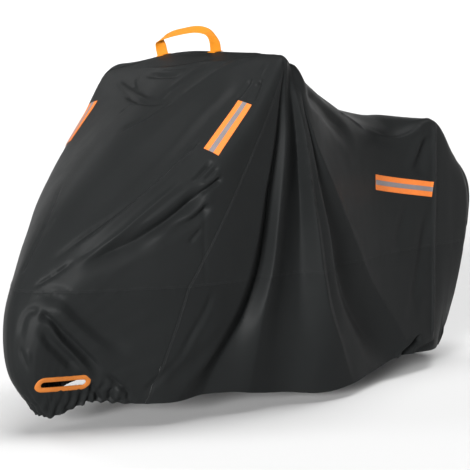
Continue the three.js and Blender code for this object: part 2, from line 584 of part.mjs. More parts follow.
// The part of the sheet between two seams and two heights, and on one side if a sign is given.
const SHEET = toSolid(skin(0, CLOTH_THICKNESS));
function panel([from, to], [low, high], sign = 0) {
  const outline = [[from(low), low], [to(low), low], [to(high), high], [from(high), high]];
  return SHEET.intersect(prismAlongY(outline, sign > 0 ? 0 : -FAR, sign < 0 ? 0 : FAR));
}

const holedFront = panel(FRONT, LOWER).subtract(holePlug(-1)).subtract(holePlug(1));
addPiece("front_panel_upper", toGeometry(panel(FRONT, UPPER)), BLACK_CLOTH);
addPiece("front_panel_lower", toGeometry(holedFront), LOWER_CLOTH);
addPiece("body_upper", toGeometry(panel(MIDDLE, UPPER)), BLACK_CLOTH);
for (const { word, sign } of SIDES) {
  addPiece(`body_lower_${word}`, toGeometry(panel(MIDDLE, LOWER, sign)), LOWER_CLOTH);
}
addPiece("rear_panel_upper", toGeometry(panel(REAR, UPPER)), BLACK_CLOTH);
addPiece("rear_panel_lower", toGeometry(panel(REAR, LOWER)), LOWER_CLOTH);

for (const { word, sign } of SIDES) {
  addPiece(`lock_hole_binding_${word}`, bindingGeometry(sign), ORANGE_BINDING);
}

// Strips and their tape: skins on the cloth, cut to length and width
const STRIP_FACE = CLOTH_THICKNESS + SEWN_GAP;
const TAPE_FACE = STRIP_FACE + STRIP_THICKNESS + SEWN_GAP;
const MARGIN = { station: 0.25, share: 0.09 };
const around = (a, b, margin) => [Math.min(a, b) - margin, Math.max(a, b) + margin];
for (const { word, sign } of SIDES) {
  for (const strip of STRIPS) {
    const from = [strip.from[0], sign * strip.from[1]];
    const to = [strip.to[0], sign * strip.to[1]];
    const patch = [around(from[0], to[0], MARGIN.station), around(from[1], to[1], MARGIN.share)];
    const band = toSolid(skin(STRIP_FACE, STRIP_FACE + STRIP_THICKNESS, ...patch));
    const tape = toSolid(skin(TAPE_FACE, TAPE_FACE + TAPE_THICKNESS, ...patch));
    const cutBand = band.intersect(boxBetween(from, to, STRIP_WIDTH));
    const cutTape = tape.intersect(boxBetween(from, to, TAPE_WIDTH));
    addPiece(`strip_${strip.name}_${word}`, toGeometry(cutBand), ORANGE_STRIP);
    addPiece(`tape_${strip.name}_${word}`, toGeometry(cutTape), GREY_TAPE);
  }
}

// The webbing, swept along the handle's rows
function webbingGeometry() {
  const last = HANDLE.length - 1;
  const read = (key, u) =>
    new THREE.Vector3(...[0, 1, 2].map((axis) => splineAt(HANDLE.map((row) => row[key][axis]), u)));
  const positions = [];
  for (let k = 0; k <= HANDLE_STEPS; k++) {
    const u = (k * last) / HANDLE_STEPS;
    const ahead = read("at", Math.min(u + SMALL_STEP, last));
    const along = ahead.sub(read("at", Math.max(u - SMALL_STEP, 0))).normalize();
    const across = read("across", u);
    across.addScaledVector(along, -across.dot(along)).normalize();
    const face = along.clone().cross(across);
    for (const [w, h] of [[-1, -1], [1, -1], [1, 1], [-1, 1]]) {
      const corner = read("at", u)
        .addScaledVector(across, (w * WEBBING_WIDTH) / 2)
        .addScaledVector(face, (h * WEBBING_THICKNESS) / 2);
      positions.push(...corner.toArray());
    }
  }
  const faces = [0, 2, 1, 0, 3, 2];
  for (let k = 0; k < HANDLE_STEPS; k++) {
    for (let c = 0; c < 4; c++) {
      const [a, b] = [4 * k + c, 4 * k + ((c + 1) % 4)];
      faces.push(a, b, b + 4, a, b + 4, a + 4);
    }
  }
  const end = 4 * HANDLE_STEPS;
  faces.push(end, end + 1, end + 2, end, end + 2, end + 3);
  return closedGeometry(positions, faces);
}

// A tab: the webbing's end, sewn flat on the crest
const crestPatch = [UNDER_HANDLE.stations, UNDER_HANDLE.shares];
const tabSkin = toSolid(skin(STRIP_FACE, STRIP_FACE + WEBBING_THICKNESS, ...crestPatch));
const crestWidth = pointOn(LINES.edge, CREST_STATION).y;
const tabReach = ((TAB_LENGTH / 2) * EDGE_SHARE) / crestWidth;
function tab([station, share]) {
  return tabSkin.intersect(
    boxBetween([station, share - tabReach], [station, share + tabReach], WEBBING_WIDTH),
  );
}
const underHandle = toSolid(skin(-UNDER_HANDLE.depth, STRIP_FACE, ...crestPatch));
const tabs = TAB_PLACES.map(tab);
const handle = toSolid(webbingGeometry()).add(tabs[0]).add(tabs[1]).subtract(underHandle);
addPiece("carry_handle", toGeometry(handle), ORANGE_WEBBING);

export default cover;
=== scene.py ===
"""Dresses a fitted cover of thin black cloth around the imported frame.

The cloth follows the frame's own stations and folds on a finer mesh, with finer creases, seams that
are lapped and stitched, a gathered hem, hi-vis strips, bound holes and a webbing handle.
Shape tables are in millimetres over the ground: x from nose to tail, y to the right side, z up.
"""

from __future__ import annotations

import logging
import math
from dataclasses import dataclass
from enum import Enum

import bmesh
import bpy
import numpy as np
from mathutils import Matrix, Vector
from mathutils.bvhtree import BVHTree

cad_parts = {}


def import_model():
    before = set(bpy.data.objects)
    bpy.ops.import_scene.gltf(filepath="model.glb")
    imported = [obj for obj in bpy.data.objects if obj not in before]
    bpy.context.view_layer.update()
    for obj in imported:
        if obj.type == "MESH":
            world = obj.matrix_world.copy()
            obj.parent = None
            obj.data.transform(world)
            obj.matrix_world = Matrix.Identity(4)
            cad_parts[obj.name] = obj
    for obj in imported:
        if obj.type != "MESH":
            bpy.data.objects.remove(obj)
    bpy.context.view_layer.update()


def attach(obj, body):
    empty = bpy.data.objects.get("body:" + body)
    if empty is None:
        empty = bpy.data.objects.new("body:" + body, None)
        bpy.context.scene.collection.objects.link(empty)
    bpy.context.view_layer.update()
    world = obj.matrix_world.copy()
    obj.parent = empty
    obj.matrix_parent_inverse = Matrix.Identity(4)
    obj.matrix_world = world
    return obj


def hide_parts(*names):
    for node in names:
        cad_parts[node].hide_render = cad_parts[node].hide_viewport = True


log = logging.getLogger("cover")

Numbers = np.ndarray
Pair = tuple[float, float]

# Sizes in millimetres: the held point over the ground, the frame's cloth and this one, the seams
HANG_HEIGHT = 1243.0
CLOTH_FACE = 2.5
CLOTH_THICKNESS = 1.5
SEAM_HEIGHT = 480.0
SEAM_TOP = 1400.0
SEWN_GAP = 0.4
LAP_WIDTH = 12.0
LAP_RISE = 0.7
GRID_PITCH = 14.0

# The floor in metres: its size, how far out it is level, and its rise beyond that
FLOOR_SIZE = 80.0
FLOOR_LEVEL = 9.0
FLOOR_RISE = 0.0095

TINY = 1e-12
NOISE_GAIN = 1.5


# Shape tables


@dataclass(frozen=True)
class Station:
    """One cross-section: the crown line, the edge where the side starts, and the side's foot.

    Belly is how far the side bulges, soft how far the edge is rounded, in shares, and drop how deep
    the right half of the top sags between crown and edge.
    """

    crown: Pair
    edge: tuple[float, float, float]
    hem: tuple[float, float, float]
    belly: float
    soft: float
    drop: float


@dataclass(frozen=True)
class Fold:
    """A crease or trough along a path of [station, signed share down].

    Wide is half the width and high the height at the path's start and end. Crisp sharpens the
    crest, lean makes one flank steeper, and fade is how much of each end runs out.
    """

    path: tuple[Pair, ...]
    wide: Pair
    high: Pair
    crisp: float
    lean: float
    fade: Pair


@dataclass(frozen=True)
class PleatLine:
    """One crest or valley down a side: stations and heights at even shares, and its crispness."""

    crisp: float
    stations: tuple[float, ...]
    heights: tuple[float, ...]


STATIONS = (
    Station((-722, 50), (-712, 36, 50), (-682, 62, 60), 0, 0.1, 0),
    Station((-834, 200), (-802, 68, 204), (-612, 90, 90), 6, 0.13, 0),
    Station((-848, 370), (-789, 106, 378), (-548, 114, 92), 10, 0.13, 0),
    Station((-803, 530), (-671, 184, 535), (-475, 180, 84), 14, 0.12, 0),
    Station((-683, 715), (-511, 288, 712), (-375, 240, 80), 14, 0.11, 0),
    Station((-480, 905), (-334, 390, 866), (-240, 278, 82), 12, 0.09, 8),
    Station((-235, 1090), (-163, 441, 1042), (-85, 295, 82), 10, 0.06, 26),
    Station((0, 1243), (0, 450, 1243), (70, 325, 54), 18, 0.035, 54),
    Station((215, 1192), (152, 406, 1150), (250, 392, 34), 30, 0.05, 30),
    Station((455, 1112), (395, 302, 1066), (430, 375, 48), 22, 0.08, 10),
    Station((700, 1036), (680, 224, 954), (620, 330, 66), 10, 0.1, 0),
    Station((900, 991), (865, 214, 918), (810, 300, 84), 6, 0.08, 0),
    Station((1062, 966), (1044, 238, 968), (1015, 266, 74), 4, 0.03, 0),
    Station((1231, 891), (1195, 230, 842), (1105, 222, 74), 20, 0.1, 0),
    Station((1388, 740), (1310, 226, 702), (1192, 164, 78), 28, 0.12, 0),
    Station((1380, 480), (1288, 194, 455), (1242, 104, 78), 26, 0.12, 0),
    Station((1268, 78), (1263, 44, 78), (1252, 80, 78), 0, 0.1, 0),
)
LAST_STATION = len(STATIONS) - 1
EDGE_SHARE = 0.24
EDGE_TAPS = 6

# Unevenness of the cloth: height, size of cells, shift, seed, and whether only the sides have it
RIPPLES = (
    (1.6, (170, 170, 230), 0, 3, False),
    (1.1, (62, 62, 340), 7, 5, True),
    (0.35, (34, 34, 90), 3, 8, True),
)

SIDE_RUN_IN = 0.15

# Fine drawn wrinkles ahead of a station: height, seed, cells a station and a share, station, run-in
NOSE_HEIGHT, NOSE_SEED, NOSE_CELLS, NOSE_END, NOSE_RUN_IN = 0.9, 11, (0.8, 22), 5.4, 1.5

# Waves of the elastic hem: axis, pitch, height, and the sway, cells and seed of the noise in them
GATHERS = ((0, 31, 1.0, 2.2, 60, 21), (1, 23, 0.5, 1.5, 45, 22))
ELASTIC_FRONT, ELASTIC_BACK, ELASTIC_RUN_IN = 3.4, 12.6, 0.8

# How uneven the elastic draws: least share, swing, size of cells and seed
GATHER_UNEVEN = (0.7, 0.5, 70, 23)

# Crinkles along the seams: height, size of cells and seed
CRINKLES = ((1.0, 15, 31), (0.5, 8, 32))


def crease(wide: Pair, high: Pair, crisp: float, lean: float, fade: Pair, *path: int) -> Fold:
    """A fold whose path is given by turns in hundredths of a station and thousandths of a share."""
    places = tuple((t / 100, down / 1000) for t, down in zip(path[::2], path[1::2]))
    return Fold(places, wide, high, crisp, lean, fade)


# Creases and troughs one by one, the large ones as the frame's solids have them
FOLDS = (
    # front panel, crest
    crease((20, 24), (7, 5), 0.7, 0, (0.15, 0.35), 686, -174, 677, -143, 660, -115, 635, -89,
           610, -70, 596, -57),
    crease((60, 95), (-14.9, -12.2), 0.1, 0, (0.2, 0.3), 656, -162, 636, -146, 598, -128, 550, -124,
           505, -121, 455, -113, 411, -102, 373, -89),
    crease((12, 16), (-6.8, -5.4), 0.8, 0, (0.2, 0.25), 607, -66, 589, -47, 569, -36, 554, -18,
           539, -1),
    crease((18, 16), (5, 4), 0.5, 0, (0.2, 0.3), 678, -132, 669, -84, 658, -63, 641, -46, 623, -35,
           602, -29),
    crease((12, 12), (-4.1, -4.1), 0.6, 0, (0.3, 0.3), 635, -50, 619, -35, 599, -32),
    crease((11, 11), (4, 4), 0.5, 0, (0.2, 0.3), 669, 129, 655, 39, 658, -13, 670, -63, 674, -113),
    crease((13, 11), (-9, -7), 0.6, 0, (0.3, 0.25), 648, 75, 641, 25, 641, -9, 646, -30),
    crease((9, 9), (3, 3), 0.5, 0, (0.3, 0.3), 654, 76, 648, 9, 655, -42),
    crease((9, 9), (-4.7, -4.1), 0.7, 0, (0.25, 0.3), 651, 105, 633, 79, 615, 41),
    crease((14, 16), (6.8, 6.1), 0.6, 0, (0.25, 0.3), 653, 171, 635, 126, 617, 73, 601, 13,
           598, -20),
    crease((12, 11), (-8.1, -5.4), 0.8, 0, (0.2, 0.3), 627, 121, 604, 55, 594, 10, 593, -21,
           598, -43, 616, -64),
    crease((10, 10), (-5.4, -4.1), 0.7, 0, (0.25, 0.3), 594, 10, 592, 40, 584, 47, 572, 46),
    # front panel, the long creases
    crease((13, 14), (-12.2, -8.1), 0.85, 0, (0.12, 0.3), 558, -177, 515, -173, 465, -168,
           409, -159, 351, -115, 320, -77),
    crease((22, 26), (12.2, 8.1), 0.6, 0, (0.2, 0.3), 546, -184, 502, -177, 442, -180, 382, -165,
           339, -112),
    crease((9, 9), (-2.5, -2.5), 0.8, 0, (0.3, 0.2), 434, -219, 402, -215, 372, -204, 348, -180,
           326, -150),
    crease((10, 10), (-6.1, -5.4), 1, 0, (0.2, 0.2), 332, -161, 313, -141, 300, -122, 290, -101,
           278, -74),
    crease((52, 52), (-36.5, -21.6), 0.7, 0.25, (0.22, 0.3), 509, -297, 476, -303, 433, -309,
           387, -288, 343, -226, 319, -180),
    crease((18, 16), (9.5, 6.8), 0.7, 0, (0.2, 0.25), 491, -233, 464, -225, 423, -225, 378, -220,
           337, -198, 320, -171),
    crease((11, 12), (-10.8, -8.1), 0.8, 0, (0.25, 0.3), 531, -242, 517, -243, 504, -245,
           486, -241),
    crease((9, 9), (-6.8, -5.4), 0.7, 0, (0.3, 0.3), 533, -268, 519, -269, 504, -266),
    crease((12, 12), (-13.5, -10.8), 0.8, 0, (0.2, 0.3), 537, -313, 518, -306, 504, -302,
           487, -295),
    crease((10, 10), (5.4, 5.4), 0.5, 0, (0.3, 0.3), 533, -291, 513, -285, 494, -273),
    crease((30, 34), (12.2, 9.5), 0.3, 0, (0.25, 0.3), 521, -331, 490, -335, 457, -340, 420, -336,
           386, -315),
    crease((22, 20), (-16.2, -10.8), 0.5, 0, (0.2, 0.35), 510, -350, 496, -362, 476, -364,
           452, -351, 429, -346),
    crease((11, 10), (-6.8, -5.4), 0.7, 0, (0.25, 0.3), 493, -408, 480, -418, 465, -431),
    crease((12, 12), (-2.5, -2), 0.8, 0, (0.2, 0.2), 504, -321, 497, -406, 496, -504, 499, -613),
    crease((13, 13), (-4.7, -4.7), 0.6, 0, (0.2, 0.15), 452, 65, 425, 35, 370, 6, 319, 12, 301, 21),
    crease((9, 8), (-2.5, -2), 0.6, 0, (0.3, 0.3), 404, -11, 387, -8, 373, -6),
    # beside the strip
    crease((14, 14), (-12.2, -9.5), 0.6, 0, (0.25, 0.15), 653, -195, 640, -192, 628, -189,
           619, -183),
    crease((10, 10), (-5, -5), 0.8, 0, (0.2, 0.25), 676, -207, 660, -209, 648, -213),
    crease((11, 11), (-12.2, -10.8), 0.8, 0, (0.2, 0.15), 653, -217, 639, -221, 624, -227),
    crease((8, 8), (-5.4, -5.4), 0.6, 0, (0.25, 0.2), 647, -213, 634, -214, 623, -216),
    # left side, under the crest
    crease((34, 66), (-14, -19), 0.3, -0.35, (0.15, 0.3), 768, -277, 821, -272, 862, -278,
           896, -291, 926, -301, 953, -343),
    crease((10, 10), (5, 5), 0.9, 0, (0.1, 0.25), 928, -235, 955, -218, 977, -221, 1002, -230),
    crease((24, 24), (8, 11), 0.6, 0, (0.3, 0.12), 999, -231, 1040, -233, 1083, -239, 1121, -246,
           1146, -252, 1176, -248),
    crease((17, 17), (-6, -7), 0.5, 0, (0.3, 0.2), 1024, -224, 1078, -228, 1123, -234, 1162, -246),
    crease((28, 32), (8, 6), 0.4, 0, (0.2, 0.4), 1170, -267, 1156, -308, 1129, -350, 1110, -388),
    crease((34, 52), (-12, -12), 0.2, 0, (0.25, 0.3), 1179, -285, 1169, -332, 1159, -376,
           1150, -421),
    crease((40, 44), (-8, -7), 0.1, 0, (0.3, 0.4), 1130, -455, 1106, -534, 1086, -609, 1070, -684),
    crease((34, 36), (5, 4), 0.1, 0, (0.3, 0.4), 1146, -512, 1133, -597, 1112, -680),
    crease((30, 54), (-9, -10), 0.2, 0, (0.25, 0.3), 1180, -524, 1170, -613, 1153, -724, 1136, -819,
           1116, -909),
    crease((26, 24), (-24, -22), 0.5, 0.3, (0.2, 0.05), 1160, -949, 1136, -961, 1117, -980,
           1093, -1000),
    crease((13, 13), (8, 8), 0.6, 0, (0.2, 0.05), 1152, -944, 1121, -961, 1093, -980, 1077, -1000),
    crease((11, 11), (-10, -9), 0.6, 0, (0.2, 0.1), 1218, -971, 1166, -988, 1135, -1000),
    # left side, along the front seam
    crease((18, 20), (-6, -5), 0.5, 0, (0.15, 0.15), 520, -629, 499, -697, 467, -760, 438, -831,
           389, -888, 326, -963),
    crease((22, 24), (3, 3), 0.4, 0, (0.2, 0.2), 513, -683, 492, -737, 464, -796, 429, -853,
           381, -910),
    crease((46, 50), (-6, -7), 0.1, 0, (0.3, 0.3), 600, -757, 546, -809, 493, -850, 440, -885,
           389, -931),
    # nose
    crease((40, 40), (-12.2, -10.8), 0.1, 0, (0.25, 0.3), 276, -81, 264, -191, 266, -359, 287, -526,
           312, -645, 337, -735),
    crease((32, 30), (8.1, 8.1), 0.2, 0, (0.25, 0.3), 243, -195, 246, -368, 264, -555, 293, -734),
    crease((20, 26), (-15, -17), 0.5, -0.35, (0.12, 0.2), 230, -169, 222, -260, 223, -383,
           230, -509, 240, -637, 256, -804),
    crease((15, 17), (8, 9), 0.6, 0, (0.15, 0.2), 218, -217, 209, -386, 213, -528, 220, -663,
           225, -785),
    crease((26, 26), (-15, -14), 0.3, 0, (0.25, 0.2), 206, -196, 190, -336, 191, -452, 194, -559,
           198, -686),
    crease((16, 20), (-6, -5), 0.4, 0, (0.15, 0.3), 233, -169, 230, -117, 215, -98, 193, -102,
           168, -108),
    crease((9, 9), (-4, -4), 0.8, 0, (0.25, 0.25), 162, -97, 139, -151, 113, -211),
    crease((10, 10), (3.5, 3), 0.4, 0, (0.3, 0.3), 157, -157, 145, -197, 130, -216),
    crease((13, 13), (-10, -9), 0.8, 0, (0.2, 0.1), 258, -775, 273, -836, 289, -894, 301, -935,
           289, -986),
    crease((12, 13), (-8, -8), 0.7, 0, (0.25, 0.1), 205, -812, 199, -888, 197, -988),
    crease((10, 10), (-7, -7), 0.7, 0, (0.25, 0.1), 266, -890, 250, -918, 236, -982),
    crease((24, 24), (8, 8), 0.3, 0, (0.3, 0.1), 277, -882, 277, -922, 267, -973),
    # seams and crest
    crease((50, 50), (-24, -18), 0, 0, (0.3, 0.3), 725, -150, 729, -235, 733, -330),
    crease((18, 18), (9, 8), 1, 0, (0.05, 0.05), 1200, -190, 1200, -500, 1200, -970),
    # right side
    crease((24, 34), (-12, -14), 0.3, 0, (0.25, 0.25), 245, 200, 220, 400, 230, 650, 280, 900),
    crease((46, 60), (-22, -22), 0.2, 0, (0.25, 0.35), 550, 250, 480, 275, 400, 280, 330, 200),
    crease((44, 58), (12, 12), 0.3, 0, (0.3, 0.4), 530, 330, 440, 340, 340, 270),
    crease((26, 26), (11, 11), 0.5, 0, (0.3, 0.1), 920, 190, 1000, 215, 1130, 230, 1200, 200),
    crease((18, 18), (9, 8), 1, 0, (0.05, 0.05), 1200, 190, 1200, 500, 1200, 970),
    # roof and tail
    crease((60, 60), (-14, -12), 0, 0, (0.4, 0.5), 740, 20, 820, -20, 920, 30),
    crease((30, 44), (-10, -14), 0.3, 0, (0.3, 0.2), 1220, -130, 1320, -200, 1440, -420,
           1520, -800),
    crease((30, 44), (-9, -13), 0.3, 0, (0.3, 0.2), 1230, 100, 1340, 140, 1460, 260, 1550, 600),
)

# Crests and valleys that fan out from the crest down each side, from front to back
PLEATS = (
    # shoulder
    PleatLine(0.2, (6.95, 6.72, 6.55, 6.35, 6.2, 5.95, 5.5, 4.8, 4.2),
              (0, 1.2, 4, 6, 7, 7, 6, 5, 3)),
    # crisp valley
    PleatLine(0.5, (7, 6.85, 6.84, 6.72, 6.67, 6.55, 6.2, 5.6, 5.1),
              (0, -8, -23, -34, -41, -45, -44, -36, -24)),
    # soft crest
    PleatLine(0.4, (7.04, 6.89, 6.93, 6.86, 6.76, 6.68, 6.5, 6.38, 6.25),
              (0, -1, 1, 5, 7, 8, 9, 9, 8)),
    # broad valley
    PleatLine(0.1, (7.08, 7.08, 7.4, 7.52, 7.53, 7.5, 7.49, 7.46, 7.46),
              (0, -5.2, -23, -35.6, -41.1, -44.2, -43.5, -39.1, -30.6)),
    # crisp crest
    PleatLine(1, (7.13, 7.2, 7.43, 7.55, 7.73, 7.86, 8.07, 8.5, 8.91),
              (0, 3.5, 15, 22, 22.5, 21.3, 19, 12.5, 6.2)),
    # step beside it
    PleatLine(0.8, (7.16, 7.31, 7.54, 7.69, 7.88, 8.01, 8.24, 8.65, 9.08),
              (0, 2.5, 14.1, 11.5, 8.9, 7.5, 6.3, 6, 4)),
    # edge of the deep trough
    PleatLine(0.4, (7.19, 7.38, 7.64, 7.82, 8.07, 8.21, 8.52, 9.11, 9.69),
              (0, 2, 12, 14.2, 12.2, 11.1, 8.7, 2.3, 0)),
    # deep trough
    PleatLine(0.4, (7.24, 7.43, 7.78, 8.12, 8.5, 8.78, 9.2, 9.85, 10.5),
              (0, 1, 0, -13, -28, -38, -41, -34, -14)),
    # second crisp crest
    PleatLine(0.9, (7.3, 7.46, 7.85, 8.45, 9.06, 9.55, 10.17, 10.76, 11.2),
              (0, 2.5, 15, 21.1, 15.9, 10.2, 5.7, 1.9, 0)),
    # step beside it
    PleatLine(0.6, (7.36, 7.7, 8.15, 8.72, 9.25, 9.73, 10.35, 10.91, 11.37),
              (0, 4.7, 11.3, 11.7, 10.2, 7, 3.7, 0.9, 0)),
    # level cloth
    PleatLine(0, (8.3, 9.1, 9.9, 10.54, 10.84, 11.11, 11.33, 11.51, 11.71), (0,) * 9),
)
PLEAT_TOP, PLEAT_STEP = 0.2, 0.1
PLEAT_REACH = (3.0, 12.2)
PLEAT_RUN_IN = 1.6
LINE_GAP = 0.01
PATH_STEPS = 4
CREST_ROUNDING = 3.5
CREST_STATION = 7

# The two upright seams, as (height, x) points
FRONT_SEAM = ((0.0, -455.0), (SEAM_HEIGHT, -359.0), (SEAM_TOP, 70.0))
REAR_SEAM = ((0.0, 1012.0), (SEAM_TOP, 1063.7))


# The cloth's shape


def spline_at(knots: Numbers, t: Numbers) -> Numbers:
    """Reads a Catmull-Rom spline through equally spaced knots.

    Args:
        knots: one row of values for each knot.
        t: places along the spline, 0 at the first knot.

    Returns:
        One row of values for each place.
    """
    knots = np.asarray(knots, float)
    ends = (2 * knots[:1] - knots[1:2], knots, 2 * knots[-1:] - knots[-2:-1])
    padded = np.concatenate(ends)
    i = np.clip(np.floor(t).astype(int), 0, len(knots) - 2)
    f = np.asarray(t - i)
    if knots.ndim > 1:
        f = f[:, None]
    before, q, r, after = (padded[i + k] for k in range(4))
    bend = 2 * before - 5 * q + 4 * r - after + f * (3 * (q - r) + after - before)
    return q + 0.5 * f * (r - before + f * bend)


def smooth(x: Numbers) -> Numbers:
    """Smoothstep of x, held between 0 and 1."""
    u = np.clip(x, 0.0, 1.0)
    return u * u * (3 - 2 * u)


def unit(vectors: Numbers) -> Numbers:
    """The vectors at length one."""
    return vectors / np.maximum(np.linalg.norm(vectors, axis=-1, keepdims=True), TINY)


def noise(points: Numbers, seed: int) -> Numbers:
    """Seeded gradient noise, about -1 to 1.

    Args:
        points: places in cells, one row each.
        seed: number of the pattern.

    Returns:
        One value for each place.
    """
    rng = np.random.default_rng(seed)
    table = rng.permutation(256)
    slopes = unit(rng.normal(size=(256, 3)))
    cell = np.floor(points).astype(int)
    frac = points - cell
    blend = frac**3 * (frac * (frac * 6 - 15) + 10)
    total = np.zeros(len(points))
    for corner in np.ndindex(2, 2, 2):
        at = cell + corner
        mixed = table[(table[(table[at[:, 0] & 255] + at[:, 1]) & 255] + at[:, 2]) & 255]
        slope = ((frac - corner) * slopes[mixed]).sum(axis=1)
        total += slope * np.prod(np.where(corner, blend, 1 - blend), axis=1)
    return NOISE_GAIN * total


def distances_along(line: Numbers) -> Numbers:
    """How far along a line each of its points lies."""
    steps = np.linalg.norm(np.diff(line, axis=0), axis=1)
    return np.concatenate([[0], np.cumsum(steps)])


class LaidFold:
    """A fold whose path is laid on the smooth form."""

    def __init__(self, fold: Fold, shape: CoverShape) -> None:
        """Lays the fold on the cover's form."""
        steps = PATH_STEPS * (len(fold.path) - 1)
        self.fold = fold
        self.along = np.linspace(0, 1, steps + 1)
        places = spline_at(np.array(fold.path), np.linspace(0, len(fold.path) - 1, steps + 1))
        self.points = shape.form(places[:, 0], places[:, 1])
        self.normals = shape.normal(places[:, 0], places[:, 1])

    def lift(self, points: Numbers, normals: Numbers) -> Numbers:
        """How far the fold lifts each point of the form.

        Args:
            points: points of the smooth form.
            normals: the form's outward normals there.

        Returns:
            Heights in millimetres.
        """
        fold = self.fold
        reach = max(fold.wide) * (1 + abs(fold.lean))
        low, high = self.points.min(axis=0) - reach, self.points.max(axis=0) + reach
        near = np.flatnonzero(np.all((points > low) & (points < high), axis=1))
        lifts = np.zeros(len(points))
        if not len(near):
            return lifts
        p, n = points[near], normals[near]
        best = np.full(len(near), np.inf)
        along, turn, facing = np.zeros(len(near)), np.zeros(len(near)), np.zeros(len(near))
        for k in range(len(self.points) - 1):
            start, side = self.points[k], self.points[k + 1] - self.points[k]
            gap = p - start
            f = np.clip(gap @ side / (side @ side), 0, 1)
            gap = gap - f[:, None] * side
            distance = np.linalg.norm(gap, axis=1)
            won = distance < best
            best = np.where(won, distance, best)
            turned = np.sign((np.cross(side, gap) * n).sum(axis=1))
            turn = np.where(won, turned, turn)
            carried = np.where((f < 0.5)[:, None], self.normals[k], self.normals[k + 1])
            facing = np.where(won, np.maximum(0, (carried * n).sum(axis=1)), facing)
            here = self.along[k] + f * (self.along[k + 1] - self.along[k])
            along = np.where(won, here, along)
        width = fold.wide[0] + along * (fold.wide[1] - fold.wide[0])
        width = width * (1 + fold.lean * turn)
        rounded = np.sqrt(best**2 + CREST_ROUNDING**2) - CREST_ROUNDING
        u = np.clip(rounded / width, 0, 1)
        soft, sharp = smooth(1 - u), (1 - u) ** 2
        ends = smooth(along / fold.fade[0]) * smooth((1 - along) / fold.fade[1])
        height = fold.high[0] + along * (fold.high[1] - fold.high[0])
        lifts[near] = height * ends * facing * (soft + fold.crisp * (sharp - soft))
        return lifts


@dataclass
class PleatFan:
    """The pleats of one side, with the cloth drawn smoothly from each line to the next.

    Drift and sway shift the lines along, scale is for their heights, and rounding, onset and early
    soften the crests and the pleats' start.
    """

    sign: int
    drift: float = 0.0
    scale: float = 1.0
    rounding: float = 0.014
    onset: float = 0.03
    early: float = 0.02
    sway: Pair = (3.0, 4.0)

    def __post_init__(self) -> None:
        """Reads the table."""
        self.stations = np.array([line.stations for line in PLEATS]).T
        self.heights = np.array([line.heights for line in PLEATS]).T * self.scale
        self.crisp = np.array([line.crisp for line in PLEATS])

    def profile(self, t: Numbers, places: Numbers, heights: Numbers) -> Numbers:
        """Heights at stations t, between lines at the given places and heights."""
        last = places.shape[1] - 1
        k = np.clip((t[:, None] > places).sum(axis=1), 1, last)
        rows = np.arange(len(t))
        start, end = places[rows, k - 1], places[rows, k]
        f = np.clip((t - start) / (end - start), 0, 1)
        leave, reach = self.crisp[k - 1], self.crisp[k]
        eased = f * f * (3 - 2 * f) + leave * f * (1 - f) ** 2 - reach * f * f * (1 - f)
        low, high = heights[rows, k - 1], heights[rows, k]
        return low + (high - low) * eased

    def lift(self, t: Numbers, down: Numbers) -> Numbers:
        """How far the pleats lift each place of the form, in millimetres."""
        lifts = np.zeros(len(t))
        share = down * self.sign
        front, back = PLEAT_REACH
        near = np.flatnonzero((share > PLEAT_TOP - self.onset) & (t > front) & (t < back))
        if not len(near):
            return lifts
        level = (share[near] - PLEAT_TOP) / PLEAT_STEP
        sway = self.drift * np.sin(self.sway[0] + self.sway[1] * share[near])
        places = spline_at(self.stations, level) + sway[:, None]
        places = np.maximum.accumulate(places + LINE_GAP * np.arange(places.shape[1]), axis=1)
        heights = spline_at(self.heights, level)
        at = t[near]
        shifts = (-self.rounding, 0, self.rounding)
        total = sum(self.profile(at + shift, places, heights) for shift in shifts) / 3
        down_in = smooth((share[near] - PLEAT_TOP + self.early) / PLEAT_STEP)
        lifts[near] = total * (down_in * smooth((at - front) / PLEAT_RUN_IN))
        return lifts


